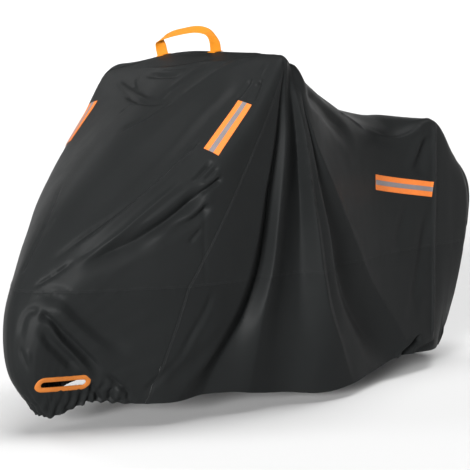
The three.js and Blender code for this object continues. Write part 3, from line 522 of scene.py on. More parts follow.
@dataclass
class CoverShape:
    """The whole cover as one surface over stations and signed shares down."""

    step: float = 0.01
    gather_depth: float = 7.0
    gather_reach: float = 70.0
    gather_falloff: float = 1.4

    def __post_init__(self) -> None:
        """Reads the tables and lays the folds."""
        lines = [(s.crown[0], 0, s.crown[1], *s.edge, *s.hem) for s in STATIONS]
        self.lines = np.array(lines, float)
        bends = np.array([(s.belly, s.soft, s.drop) for s in STATIONS])
        self.rows = np.concatenate([self.lines, bends], axis=1)
        self.folds = [LaidFold(fold, self) for fold in FOLDS]
        self.pleats = (PleatFan(-1), PleatFan(1, 0.15, 0.85))

    def form(self, t: Numbers, down: Numbers) -> Numbers:
        """Points of the smooth form under the folds.

        Args:
            t: stations.
            down: shares down, negative on the left side.

        Returns:
            One point for each place, in millimetres.
        """
        row = spline_at(self.rows, t)
        crown, edge, hem = row[:, 0:3], row[:, 3:6], row[:, 6:9]
        belly, soft, drop = row[:, 9], row[:, 10], row[:, 11]
        share = np.abs(down)
        reach = np.minimum(soft, 1 - share)
        total = np.zeros((len(t), 3))
        for k in range(-EDGE_TAPS, EDGE_TAPS + 1):
            at = share + reach * k / EDGE_TAPS
            where = np.abs(at)
            above = (where / EDGE_SHARE)[:, None]
            below = ((where - EDGE_SHARE) / (1 - EDGE_SHARE))[:, None]
            top, side = crown + above * (edge - crown), edge + below * (hem - edge)
            point = np.where(above < 1, top, side)
            bulge = belly * 4 * below[:, 0] * (1 - below[:, 0])
            point[:, 1] += np.where(above[:, 0] < 1, 0, bulge)
            point[:, 1] *= np.where(at < 0, -1, 1)
            total += point * (1 - abs(k) / (EDGE_TAPS + 1)) / (EDGE_TAPS + 1)
        middle = np.sin(math.pi * np.minimum(1, share / (2 * EDGE_SHARE))) ** 2
        total[:, 2] -= np.where(down < 0, 0, drop * middle)
        total[:, 1] *= np.where(down < 0, -1, 1)
        return total

    def normal(self, t: Numbers, down: Numbers) -> Numbers:
        """Outward unit normals of the smooth form."""
        t0, t1 = np.maximum(t - self.step, 0), np.minimum(t + self.step, LAST_STATION)
        d0, d1 = np.maximum(down - self.step, -1), np.minimum(down + self.step, 1)
        along = self.form(t1, down) - self.form(t0, down)
        across = self.form(t, d1) - self.form(t, d0)
        return unit(np.cross(along, across))

    def wrinkles(self, t: Numbers, down: Numbers, points: Numbers) -> Numbers:
        """Heights of the small seeded unevenness of the hanging cloth, at points of the form."""
        sides = smooth((np.abs(down) - PLEAT_TOP) / SIDE_RUN_IN)
        total = np.zeros(len(t))
        for height, cell, shift, seed, sides_only in RIPPLES:
            waves = height * noise(points / cell + shift, seed)
            total += waves * sides if sides_only else waves
        drawn = np.stack([t * NOSE_CELLS[0], down * NOSE_CELLS[1], np.full(len(t), 0.5)], axis=1)
        nose = NOSE_HEIGHT * noise(drawn, NOSE_SEED) * smooth((NOSE_END - t) / NOSE_RUN_IN)
        return total + nose

    def gathers(self, t: Numbers, down: Numbers, points: Numbers) -> Numbers:
        """Heights of the elastic gathers at both ends of the hem, at points of the form."""
        rows = spline_at(self.lines[:, 6:9], t)
        foot = np.stack([rows[:, 0], np.sign(down) * rows[:, 1], rows[:, 2]], axis=1)
        up = np.linalg.norm(points - foot, axis=1)
        for x, z in (STATIONS[0].crown, STATIONS[-1].crown):
            up = np.minimum(up, np.linalg.norm(points - (x, 0, z), axis=1))
        elastic = smooth((ELASTIC_FRONT - t) / ELASTIC_RUN_IN)
        elastic = elastic + smooth((t - ELASTIC_BACK) / ELASTIC_RUN_IN)
        waves = np.zeros(len(t))
        for axis, pitch, height, sway, cell, seed in GATHERS:
            turns = 2 * math.pi * points[:, axis] / pitch
            waves += height * np.sin(turns + sway * noise(points / cell, seed))
        least, swing, cell, seed = GATHER_UNEVEN
        uneven = least + swing * noise(points / cell, seed)
        near_hem = np.exp(-((up / self.gather_reach) ** self.gather_falloff))
        return self.gather_depth * elastic * waves * uneven * near_hem

    def cloth(
        self, t: Numbers, down: Numbers, offset: float = CLOTH_FACE
    ) -> tuple[Numbers, Numbers]:
        """Points of the folded cloth.

        Args:
            t: stations.
            down: signed shares down.
            offset: how far outside the inner face.

        Returns:
            The points, and the smooth form's normals there.
        """
        t, down = np.asarray(t, float), np.asarray(down, float)
        points, normals = self.form(t, down), self.normal(t, down)
        lift = sum(fold.lift(points, normals) for fold in self.folds)
        lift = lift + sum(fan.lift(t, down) for fan in self.pleats)
        lift = lift + self.wrinkles(t, down, points) + self.gathers(t, down, points)
        return points + normals * (lift + offset)[:, None], normals

    def slopes(self, t: Numbers, down: Numbers) -> tuple[Numbers, Numbers]:
        """How the smooth form moves for each station and for each share, at the given places."""
        here = self.form(t, down)
        by_t = (self.form(t + self.step, down) - here) / self.step
        by_down = (self.form(t, down + self.step) - here) / self.step
        return by_t, by_down


def newton_step(
    slopes: tuple[Numbers, ...], gaps: tuple[Numbers, Numbers], damping: float = 1.0
) -> Numbers:
    """Moves of station and share that close a pair of gaps.

    Args:
        slopes: how the first coordinate moves with each, and how the second does.
        gaps: how far both coordinates still are from their aims.
        damping: share of the whole step.

    Returns:
        The moves of the station and of the share, as two rows.
    """
    (a, b, c, d), (u, v) = slopes, gaps
    return damping * np.array([u * d - v * b, v * a - u * c]) / (a * d - b * c)


# Meshes


def to_frame(points: Numbers) -> Numbers:
    """Ground millimetres as the frame's metres."""
    return (np.asarray(points, float) - (0, 0, HANG_HEIGHT)) / 1000


def link_object(name: str, data: bpy.types.ID) -> bpy.types.Object:
    """Makes an object of some data, in the scene."""
    item = bpy.data.objects.new(name, data)
    bpy.context.collection.objects.link(item)
    return item


def tube_faces(rows: int, ring: int, closed: bool) -> list[tuple[int, ...]]:
    """Faces between rings of points.

    Args:
        rows: how many rings there are.
        ring: how many points each has.
        closed: whether the last ring joins the first.

    Returns:
        Corner numbers of each face.
    """
    total = rows * ring
    faces = []
    for k in range(rows if closed else rows - 1):
        for c in range(ring):
            a, b = k * ring + c, k * ring + (c + 1) % ring
            faces.append((a, b, (b + ring) % total, (a + ring) % total))
    return faces


def mesh_object(
    name: str, points: Numbers, faces: list, uv: Numbers | None = None
) -> bpy.types.Object:
    """Makes an object of points and faces.

    Args:
        name: the piece's name.
        points: ground millimetres.
        faces: corner numbers of each face, outward.
        uv: places in metres on the flat cloth, one for each point.

    Returns:
        The new object, in the scene.
    """
    mesh = bpy.data.meshes.new(name)
    mesh.from_pydata(to_frame(points).tolist(), [], faces)
    if uv is not None:
        layer = mesh.uv_layers.new(name="flat")
        corners = np.empty(len(mesh.loops), np.int32)
        mesh.loops.foreach_get("vertex_index", corners)
        layer.data.foreach_set("uv", np.asarray(uv, np.float32)[corners].ravel())
    mesh.update()
    return link_object(name, mesh)


def select_only(*pieces: bpy.types.Object) -> None:
    """Selects the pieces, the last of them active."""
    bpy.ops.object.select_all(action="DESELECT")
    for piece in pieces:
        piece.select_set(True)
    bpy.context.view_layer.objects.active = pieces[-1]


def finish_mesh(piece: bpy.types.Object, thickness: float = 0.0, angle: float = 40.0) -> None:
    """Gives a sheet its thickness inwards and smooths its shading.

    Args:
        piece: the object.
        thickness: in millimetres, or 0 for a closed piece.
        angle: edges sharper than this many degrees stay sharp.
    """
    select_only(piece)
    if thickness:
        solidify = piece.modifiers.new("thickness", "SOLIDIFY")
        solidify.thickness = thickness / 1000
        solidify.offset = -1
        bpy.ops.object.modifier_apply(modifier=solidify.name)
    bpy.ops.object.shade_smooth_by_angle(angle=math.radians(angle))
    piece.select_set(False)


@dataclass(frozen=True)
class Cut:
    """A seam plane; the panel keeps the side that the normal points to."""

    point: tuple[float, float, float]
    normal: tuple[float, float, float]
    lapped: bool

    def depth(self, points: Numbers) -> Numbers:
        """How far inside the panel the points lie from this seam."""
        return (points - np.array(self.point)) @ np.array(self.normal)


def level_cut(above: bool) -> Cut:
    """The seam round the cover, as the edge of an upper or a lower panel."""
    up = 1 if above else -1
    return Cut((0, 0, SEAM_HEIGHT + up * SEWN_GAP / 2), (0, 0, up), above)


def upright_cut(low: Pair, high: Pair, behind: bool, lapped: bool) -> Cut:
    """An upright seam, as the edge of one of its two panels.

    Args:
        low: height and x at the seam's low end.
        high: height and x at its high end.
        behind: whether the panel lies on the tail's side.
        lapped: whether this panel's edge lies on top.

    Returns:
        The cut.
    """
    rise, run = high[0] - low[0], high[1] - low[1]
    side = 1 if behind else -1
    way = side / math.hypot(rise, run)
    start = (low[1] + side * SEWN_GAP / 2, 0, low[0])
    return Cut(start, (rise * way, 0, -run * way), lapped)


def panel_cuts(above: bool, front: int = 0, rear: int = 0) -> tuple[Cut, ...]:
    """A panel's seams.

    Args:
        above: whether it lies above the seam round the cover.
        front: -1 ahead of the front seam, 1 behind it, 0 for neither.
        rear: the same for the rear seam.

    Returns:
        The cuts. The middle panels lie on top along both upright seams.
    """
    cuts = [level_cut(above)]
    if front:
        low, high = FRONT_SEAM[1:] if above else FRONT_SEAM[:2]
        cuts.append(upright_cut(low, high, front > 0, front > 0))
    if rear:
        cuts.append(upright_cut(*REAR_SEAM, rear > 0, rear < 0))
    return tuple(cuts)


class Side(Enum):
    """Which half of the cover a panel lies on."""

    BOTH = 0
    LEFT = -1
    RIGHT = 1


@dataclass(frozen=True)
class PanelPlan:
    """One panel: its node, its slot, its seams and its flat cut."""

    node: str
    slot: str
    cuts: tuple[Cut, ...]
    flat: Pair
    area: float
    side: Side = Side.BOTH


PANELS = (
    PanelPlan("front_panel_upper", "black_cloth", panel_cuts(True, -1), (1.45, 1.05), 1.06),
    PanelPlan("front_panel_lower", "lower_cloth", panel_cuts(False, -1), (0.9, 0.75), 0.45),
    PanelPlan("body_upper", "black_cloth", panel_cuts(True, 1, -1), (2.0, 1.5), 2.27),
    *(
        PanelPlan(f"body_lower_{side.name.lower()}", "lower_cloth", panel_cuts(False, 1, -1),
                  (1.5, 0.5), 0.64, side)
        for side in (Side.LEFT, Side.RIGHT)
    ),
    PanelPlan("rear_panel_upper", "black_cloth", panel_cuts(True, 0, 1), (1.4, 0.7), 0.6),
    PanelPlan("rear_panel_lower", "lower_cloth", panel_cuts(False, 0, 1), (1.0, 0.5), 0.4),
)


@dataclass(frozen=True)
class Grid:
    """The coarse grid that every panel is cut from: its lines and its points on the cloth."""

    stations: Numbers
    shares: Numbers
    points: Numbers


@dataclass
class ClothPanels:
    """The seven sewn panels, and the stitches along their seams.

    Tolerance, finest and seam_reaches steer how fine the mesh gets, and spare, slack and on_seam
    are its margins at a seam. The other lengths are of the seams' relief and stitches.
    """

    shape: CoverShape
    tolerance: float = 0.3
    finest: float = 4.0
    seam_reaches: tuple[float, ...] = (26.0, 13.0)
    stitch_pitch: float = 6.0
    stitch_rows: tuple[float, ...] = (3.0, 9.0)
    stitch_sink: float = 0.45
    stitch_spread: float = 1.4
    look: float = 1.5
    pucker: float = 0.8
    pucker_reach: float = 15.0
    lap_slope: float = 3.0
    under_sink: float = 0.1
    under_reach: float = 5.0
    stitch_length: float = 4.2
    thread_width: float = 0.9
    girth: float = 1620.0
    spare: float = 2.0
    slack: float = 8.0
    on_seam: float = 0.05

    def grid(self) -> Grid:
        """Lays out the coarse grid."""
        stations = []
        for k in range(LAST_STATION):
            span = (self.shape.lines[k + 1] - self.shape.lines[k]).reshape(3, 3)
            steps = math.ceil(np.linalg.norm(span, axis=1).max() / GRID_PITCH)
            stations.extend(k + np.arange(steps) / steps)
        stations.append(LAST_STATION)
        half = np.linspace(0, 1, math.ceil(self.girth / GRID_PITCH) + 1)
        shares = np.concatenate([-half[:0:-1], half])
        t, down = np.meshgrid(np.array(stations), shares, indexing="ij")
        points, _ = self.shape.cloth(t.ravel(), down.ravel())
        return Grid(np.array(stations), shares, points.reshape(*t.shape, 3))

    def relief(self, points: Numbers, plan: PanelPlan) -> Numbers:
        """Heights by which the seams lift and pucker a panel, at points of its cloth."""
        lift = np.zeros(len(points))
        crinkle = sum(height * noise(points / cell, seed) for height, cell, seed in CRINKLES)
        for cut in plan.cuts:
            depth = np.maximum(cut.depth(points), 0)
            lift += self.pucker * crinkle * np.exp(-depth / self.pucker_reach)
            if cut.lapped:
                edge = (depth - LAP_WIDTH + self.lap_slope / 2) / self.lap_slope
                lift += LAP_RISE * (1 - smooth(edge))
                for row in self.stitch_rows:
                    lift -= self.stitch_sink * np.exp(-(((depth - row) / self.stitch_spread) ** 2))
            else:
                lift -= self.under_sink * np.exp(-depth / self.under_reach)
        return lift

    def place(self, t: Numbers, down: Numbers, plan: PanelPlan) -> Numbers:
        """Points of a panel's outer face, seams and all."""
        points, normals = self.shape.cloth(t, down)
        return points + normals * self.relief(points, plan)[:, None]

    def build_outer(self, plan: PanelPlan, grid: Grid) -> bmesh.types.BMesh:
        """Makes a panel's outer face.

        Args:
            plan: the panel.
            grid: the grid that it is cut from.

        Returns:
            The mesh, in ground millimetres, with its places as two layers.
        """
        inside = np.ones(grid.points.shape[:2], bool)
        for cut in plan.cuts:
            depth = cut.depth(grid.points.reshape(-1, 3)).reshape(inside.shape)
            inside &= depth > -self.spare
        if plan.side is not Side.BOTH:
            inside &= (plan.side.value * grid.shares > 0)[None, :]
        cells = inside[:-1, :-1] | inside[1:, :-1] | inside[:-1, 1:] | inside[1:, 1:]
        bm = bmesh.new()
        station_layer = bm.verts.layers.float.new("station")
        share_layer = bm.verts.layers.float.new("share")
        corners: dict[tuple[int, int], bmesh.types.BMVert] = {}

        def corner(i: int, j: int) -> bmesh.types.BMVert:
            """The grid's vertex i, j, made when it is first asked for."""
            if (i, j) not in corners:
                vert = bm.verts.new(grid.points[i, j])
                vert[station_layer], vert[share_layer] = grid.stations[i], grid.shares[j]
                corners[i, j] = vert
            return corners[i, j]

        for i, j in np.argwhere(cells):
            square = ((i, j), (i + 1, j), (i + 1, j + 1), (i, j + 1))
            bm.faces.new([corner(*place) for place in square])
        for reach in self.seam_reaches:
            self.refine(bm, plan, reach)
        self.settle(bm, plan)
        if plan.node == "front_panel_lower":
            self.open_holes(bm)
        for cut in plan.cuts:
            geometry = [*bm.verts, *bm.edges, *bm.faces]
            plane = {"plane_co": cut.point, "plane_no": cut.normal}
            bmesh.ops.bisect_plane(bm, geom=geometry, dist=1e-4, clear_inner=True, **plane)
        return bm

    def open_holes(self, bm: bmesh.types.BMesh) -> None:
        """Opens the two slots, with their edges under the bindings."""
        hole = HoleBindings(self.shape)
        cos, sin = math.cos(hole.tilt), math.sin(hole.tilt)
        half = (hole.length - hole.height) / 2
        doomed = []
        for face in bm.faces:
            middle = face.calc_center_median()
            x, z = middle.x - hole.middle[0], middle.z - hole.middle[1]
            u, v = x * cos + z * sin, z * cos - x * sin
            if math.hypot(max(abs(u) - half, 0), v) < hole.height / 2 - hole.width / 2:
                doomed.append(face)
        bmesh.ops.delete(bm, geom=doomed, context="FACES")

    def places_of(self, bm: bmesh.types.BMesh) -> tuple[Numbers, Numbers]:
        """The stations and shares of a mesh's vertices."""
        layers = bm.verts.layers.float
        station_layer, share_layer = layers["station"], layers["share"]
        t = np.array([v[station_layer] for v in bm.verts])
        down = np.array([v[share_layer] for v in bm.verts])
        return t, down

    def refine(self, bm: bmesh.types.BMesh, plan: PanelPlan, reach: float) -> None:
        """Splits the edges that miss the cloth's shape or lie near a seam.

        Args:
            bm: the panel's mesh.
            plan: the panel.
            reach: how near a seam every edge is split, in millimetres.
        """
        bm.verts.index_update()
        t, down = self.places_of(bm)
        points = self.place(t, down, plan)
        edges = list(bm.edges)
        ends = np.array([(e.verts[0].index, e.verts[1].index) for e in edges])
        a, b = ends.T
        middle = self.place((t[a] + t[b]) / 2, (down[a] + down[b]) / 2, plan)
        miss = np.linalg.norm(middle - (points[a] + points[b]) / 2, axis=1)
        long = np.linalg.norm(points[a] - points[b], axis=1) > self.finest
        near = np.zeros(len(edges), bool)
        outside = np.zeros(len(edges), bool)
        for cut in plan.cuts:
            depth = cut.depth(middle)
            near |= (np.abs(depth) < reach) & (depth > -self.slack)
            outside |= depth < -self.slack
        chosen = np.flatnonzero(long & ~outside & (near | (miss > self.tolerance)))
        split = [edges[k] for k in chosen]
        bmesh.ops.subdivide_edges(
            bm, edges=split, cuts=1, use_grid_fill=True, use_single_edge=True
        )

    def settle(self, bm: bmesh.types.BMesh, plan: PanelPlan) -> None:
        """Puts every vertex at its place on the cloth."""
        t, down = self.places_of(bm)
        for vert, point in zip(bm.verts, self.place(t, down, plan)):
            vert.co = point

    def flat_places(self, t: Numbers, down: Numbers) -> Numbers:
        """Rough places on the flat cloth, in metres, for the weave to follow."""
        edges, hems = self.shape.lines[:, 3:6], self.shape.lines[:, 6:9]
        reach = distances_along(edges[:, ::2])
        girths = np.linalg.norm(edges - hems, axis=1) + edges[:, 1]
        ground = np.arange(len(STATIONS))
        u, v = np.interp(t, ground, reach), down * np.interp(t, ground, girths)
        return np.stack([u, v], axis=1) / 1000

    def build(self, plan: PanelPlan, grid: Grid) -> tuple[bpy.types.Object, list]:
        """Makes one panel and the stitches on it.

        Args:
            plan: the panel.
            grid: the grid that it is cut from.

        Returns:
            The panel, and the stitches' middles, directions and normals.
        """
        bm = self.build_outer(plan, grid)
        stitches = self.stitches(bm, plan)
        t, down = self.places_of(bm)
        bm.verts.index_update()
        points = np.array([v.co for v in bm.verts])
        faces = [[v.index for v in face.verts] for face in bm.faces]
        bm.free()
        piece = mesh_object(plan.node, points, faces, self.flat_places(t, down))
        finish_mesh(piece, CLOTH_THICKNESS)
        return piece, stitches

    def stitches(self, bm: bmesh.types.BMesh, plan: PanelPlan) -> list:
        """Sets out the stitches along a panel's lapped edges.

        Args:
            bm: the panel's outer face.
            plan: the panel.

        Returns:
            Middles, directions and normals, as arrays.
        """
        tree = BVHTree.FromBMesh(bm)
        found = []
        for cut in (cut for cut in plan.cuts if cut.lapped):
            for run in self.runs(bm, cut):
                ways = distances_along(run)
                count = int(ways[-1] / self.stitch_pitch)
                if count < 3:
                    continue
                middles = (np.arange(count) + 0.5) * ways[-1] / count
                back, at, ahead = (
                    np.stack([np.interp(middles + shift, ways, axis) for axis in run.T], axis=1)
                    for shift in (-self.look, 0, self.look)
                )
                along = unit(ahead - back)
                for row in self.stitch_rows:
                    for point, way in zip(at, along):
                        _, normal, _, _ = tree.find_nearest(Vector(point))
                        inward = np.cross(way, normal)
                        inward = inward * np.sign(inward @ np.array(cut.normal))
                        spot, normal, _, _ = tree.find_nearest(Vector(point + row * inward))
                        found.append((spot, way, normal))
        return found

    def runs(self, bm: bmesh.types.BMesh, cut: Cut) -> list[Numbers]:
        """The edges of a panel on one seam, as ordered lines of points."""
        links: dict[int, list[bmesh.types.BMVert]] = {}
        verts: dict[int, bmesh.types.BMVert] = {}
        bm.verts.index_update()
        for edge in bm.edges:
            if not edge.is_boundary:
                continue
            ends = np.array([v.co for v in edge.verts])
            if np.abs(cut.depth(ends)).max() > self.on_seam:
                continue
            for v, other in (edge.verts, tuple(reversed(edge.verts))):
                links.setdefault(v.index, []).append(other)
                verts[v.index] = v
        lines, seen = [], set()
        starts = [k for k, others in links.items() if len(others) == 1] + list(links)
        for start in starts:
            if start in seen:
                continue
            line, here = [], verts[start]
            while here is not None and here.index not in seen:
                seen.add(here.index)
                line.append(np.array(here.co))
                here = next((o for o in links[here.index] if o.index not in seen), None)
            lines.append(np.array(line))
        return [line for line in lines if len(line) > 2]


def thread_mesh(name: str, stitches: list, length: float, width: float) -> bpy.types.Object:
    """Makes one object of many short stitches.

    Args:
        name: the piece's name.
        stitches: middle, direction and normal of each, in ground millimetres.
        length: of a stitch, in millimetres.
        width: of the thread, in millimetres.

    Returns:
        The object.
    """
    middle = np.array([s[0] for s in stitches])
    along = unit(np.array([s[1] for s in stitches]))
    normal = np.array([s[2] for s in stitches])
    normal = unit(normal - (normal * along).sum(axis=1, keepdims=True) * along)
    across = np.cross(along, normal)
    rings = ((-0.5, 0.0), (-0.3, 1.0), (0.3, 1.0), (0.5, 0.0))  # share along, share of the width
    points = []
    for way, size in rings:
        sides = ((1, 0), (0, 1), (-1, 0), (0, -1)) if size else ((0, 0),)
        for x, y in sides:
            lift = 0.25 * width + 0.5 * width * y * size
            spot = middle + along * way * length + across * x * size * width / 2
            points.append(spot + normal * lift)
    stacked = np.stack(points, axis=1)
    count = stacked.shape[1]
    turns = [(k, (k + 1) % 4) for k in range(4)]
    pattern = [(0, b + 1, a + 1) for a, b in turns]
    pattern += [(a + 1, b + 1, b + 5, a + 5) for a, b in turns]
    pattern += [(9, a + 5, b + 5) for a, b in turns]
    faces = [tuple(k * count + c for c in face) for k in range(len(stacked)) for face in pattern]
    piece = mesh_object(name, stacked.reshape(-1, 3), faces)
    finish_mesh(piece, angle=70)
    return piece


# Sewn-on pieces


@dataclass
class Patch:
    """A flat rectangle that lies on the cloth between two places.

    The ends are [station, share down]; width and pitch are in millimetres.
    """

    shape: CoverShape
    start: Pair
    end: Pair
    width: float
    pitch: float = 5.0
    rounds: int = 10
    damping: float = 0.9

    def grid(self, offset: float) -> tuple[Numbers, Numbers, int]:
        """Points of the rectangle on the cloth.

        Args:
            offset: how far over the cloth's inner face.

        Returns:
            The points row by row along the patch, their flat places in metres, and a row's length.
        """
        ends = np.array([self.start, self.end])
        points, _ = self.shape.cloth(ends[:, 0], ends[:, 1])
        line = points[1] - points[0]
        length = np.linalg.norm(line)
        along = line / length
        middle = ends.mean(axis=0)
        normal = self.shape.normal(middle[:1], middle[1:])[0]
        across = unit(np.cross(normal, along))
        rows, columns = (max(4, round(size / self.pitch)) for size in (length, self.width))
        u = np.repeat(np.linspace(0, length, rows + 1), columns + 1)
        v = np.tile(np.linspace(-self.width / 2, self.width / 2, columns + 1), rows + 1)
        t, down = ((a + u / length * (b - a)) for a, b in zip(self.start, self.end))
        for _ in range(self.rounds):
            here, _ = self.shape.cloth(t, down)
            by_t, by_down = self.shape.slopes(t, down)
            gaps = u - (here - points[0]) @ along, v - (here - points[0]) @ across
            slopes = by_t @ along, by_down @ along, by_t @ across, by_down @ across
            moves = newton_step(slopes, gaps, self.damping)
            t, down = t + moves[0], down + moves[1]
        placed, _ = self.shape.cloth(t, down, offset)
        return placed, np.stack([u, v], axis=1) / 1000, columns + 1

    def build(self, name: str, offset: float, thickness: float) -> bpy.types.Object:
        """Makes the patch as a thin sheet.

        Args:
            name: the piece's name.
            offset: of its outer face over the cloth's inner face.
            thickness: in millimetres.

        Returns:
            The piece.
        """
        points, flat, row = self.grid(offset)
        count = len(points) // row
        faces = [
            (i * row + j, (i + 1) * row + j, (i + 1) * row + j + 1, i * row + j + 1)
            for i in range(count - 1)
            for j in range(row - 1)
        ]
        piece = mesh_object(name, points, faces, flat)
        finish_mesh(piece, thickness)
        return piece

    def edge_stitches(self, offset: float, inset: float, pitch: float) -> list:
        """Stitches round the patch, drawn in from its edge.

        Args:
            offset: of the face that the thread lies on.
            inset: how far in from the edge.
            pitch: from stitch to stitch.

        Returns:
            Middles, directions and normals.
        """
        points, flat, row = self.grid(offset)
        grid = points.reshape(-1, row, 3)
        places = flat.reshape(-1, row, 2) * 1000
        length, half = places[-1, 0, 0], self.width / 2 - inset
        far = length - inset
        turns = [(inset, -half), (far, -half), (far, half), (inset, half), (inset, -half)]
        found = []
        for (u0, v0), (u1, v1) in zip(turns, turns[1:]):
            count = max(2, round(math.hypot(u1 - u0, v1 - v0) / pitch))
            for k in range(count):
                f = (k + 0.5) / count
                i = (u0 + f * (u1 - u0)) / length * (len(grid) - 1)
                j = (v0 + f * (v1 - v0) + self.width / 2) / self.width * (row - 1)
                i, j = np.clip(i, 0, len(grid) - 1.001), np.clip(j, 0, row - 1.001)
                a, b = int(i), int(j)
                x, y = i - a, j - b
                cell = grid[a : a + 2, b : b + 2]
                near, next_row = cell[:, 0] * (1 - y) + cell[:, 1] * y
                spot = near * (1 - x) + next_row * x
                by_u, by_v = cell[1, 0] - cell[0, 0], cell[0, 1] - cell[0, 0]
                way = by_u if abs(u1 - u0) > abs(v1 - v0) else by_v
                found.append((spot, unit(way), unit(np.cross(by_u, by_v))))
        return found


@dataclass(frozen=True)
class StripPlan:
    """Where a hi-vis strip lies on one side, as [station, share down] without its sign."""

    word: str
    start: Pair
    end: Pair


STRIP_PLANS = (
    StripPlan("front", (6.19, 0.21), (5.39, 0.22)),
    StripPlan("rear", (10.1, 0.408), (11.93, 0.468)),
)


@dataclass
class HiVisStrips:
    """The orange strips and the reflective tape along each."""

    shape: CoverShape
    width: float = 58.0
    tape_width: float = 18.0
    strip_face: float = 3.9
    strip_thickness: float = 0.8
    tape_face: float = 4.5
    tape_thickness: float = 0.5
    stitch_inset: float = 2.5
    stitch_pitch: float = 4.0
    stitch_length: float = 2.8
    thread_width: float = 0.7

    def build(
        self, sign: int, plan: StripPlan
    ) -> tuple[bpy.types.Object, bpy.types.Object, list, float]:
        """Makes one strip with its tape.

        Args:
            sign: -1 on the left side, 1 on the right.
            plan: the strip's place.

        Returns:
            The strip, its tape, its stitches and its length in metres.
        """
        side = "left" if sign < 0 else "right"
        start, end = ((t, sign * share) for t, share in (plan.start, plan.end))
        place = f"{plan.word}_{side}"
        patch = Patch(self.shape, start, end, self.width)
        strip = patch.build(f"hi_vis_strip_{place}", self.strip_face, self.strip_thickness)
        middle = Patch(self.shape, start, end, self.tape_width)
        tape = middle.build(f"hi_vis_tape_{place}", self.tape_face, self.tape_thickness)
        stitches = patch.edge_stitches(self.strip_face, self.stitch_inset, self.stitch_pitch)
        _, flat, _ = patch.grid(self.strip_face)
        return strip, tape, stitches, float(flat[:, 0].max())


# The webbing's middle line, from one end to the other, and which way its width lies
HANDLE_ROWS = (
    ((12, 172, 1190), (0.75, -0.65, 0)),
    ((10, 176, 1225), (0.75, -0.65, 0)),
    ((6, 182, 1258), (0.8, -0.5, 0.1)),
    ((0, 178, 1285), (0.8, 0.1, 0.35)),
    ((-2, 128, 1304), (0.75, 0.3, 0.55)),
    ((-2, 66, 1316), (0.75, 0.3, 0.58)),
    ((-2, 4, 1324), (0.75, 0.3, 0.58)),
    ((0, -38, 1322), (0.78, 0.25, 0.5)),
    ((4, -68, 1311), (0.8, 0.2, 0.35)),
    ((8, -88, 1286), (0.8, -0.2, 0)),
    ((12, -92, 1252), (0.8, -0.4, 0)),
    ((14, -88, 1190), (0.8, -0.5, 0)),
)


@dataclass
class CarryHandle:
    """The webbing loop on the crest and its sewn ends."""

    shape: CoverShape
    width: float = 40.0
    thickness: float = 2.6
    steps: int = 150
    tab_length: float = 34.0
    tab_face: float = 5.9
    tab_pitch: float = 4.0
    tabs: tuple[Pair, ...] = ((7.06, 0.093), (7.06, -0.048))

    def section(self) -> Numbers:
        """The webbing's section: shares of its width and of its thickness."""
        across = np.array([-0.5, -0.48, -0.44, -0.25, 0, 0.25, 0.44, 0.48, 0.5])
        rise = np.array([0.15, 0.46, 0.5, 0.42, 0.44, 0.42, 0.5, 0.46, 0.15])
        top = np.stack([across, rise], axis=1)
        return np.concatenate([top, top[::-1] * (1, -1)])

    def build(self) -> bpy.types.Object:
        """Makes the whole handle.

        Returns:
            The piece.
        """
        rows = np.array([(*at, *across) for at, across in HANDLE_ROWS], float)
        u = np.linspace(0, len(rows) - 1, self.steps + 1)
        read = spline_at(rows, u)
        at, across = read[:, :3], read[:, 3:]
        along = unit(np.gradient(at, axis=0))
        across = unit(across - (across * along).sum(axis=1, keepdims=True) * along)
        face = np.cross(along, across)
        section = self.section() * (self.width, self.thickness)
        count = len(section)
        points = at[:, None] + across[:, None] * section[None, :, :1]
        points = points + face[:, None] * section[None, :, 1:]
        run = distances_along(at)
        flat = np.stack([np.repeat(run, count), np.tile(section[:, 0], len(run))], axis=1)
        faces = tube_faces(self.steps + 1, count, closed=False)
        faces.append(tuple(range(count))[::-1])
        faces.append(tuple(self.steps * count + c for c in range(count)))
        loop = mesh_object("carry_handle_webbing", points.reshape(-1, 3), faces, flat / 1000)
        finish_mesh(loop, angle=50)
        ends = []
        for place in self.tabs:
            reach = self.tab_length / 2 * EDGE_SHARE / STATIONS[CREST_STATION].edge[1]
            first, last = (place[0], place[1] - reach), (place[0], place[1] + reach)
            tab = Patch(self.shape, first, last, self.width, self.tab_pitch)
            ends.append(tab.build("carry_handle_tab", self.tab_face, self.thickness))
        select_only(*ends, loop)
        bpy.ops.object.join()
        loop.select_set(False)
        return loop


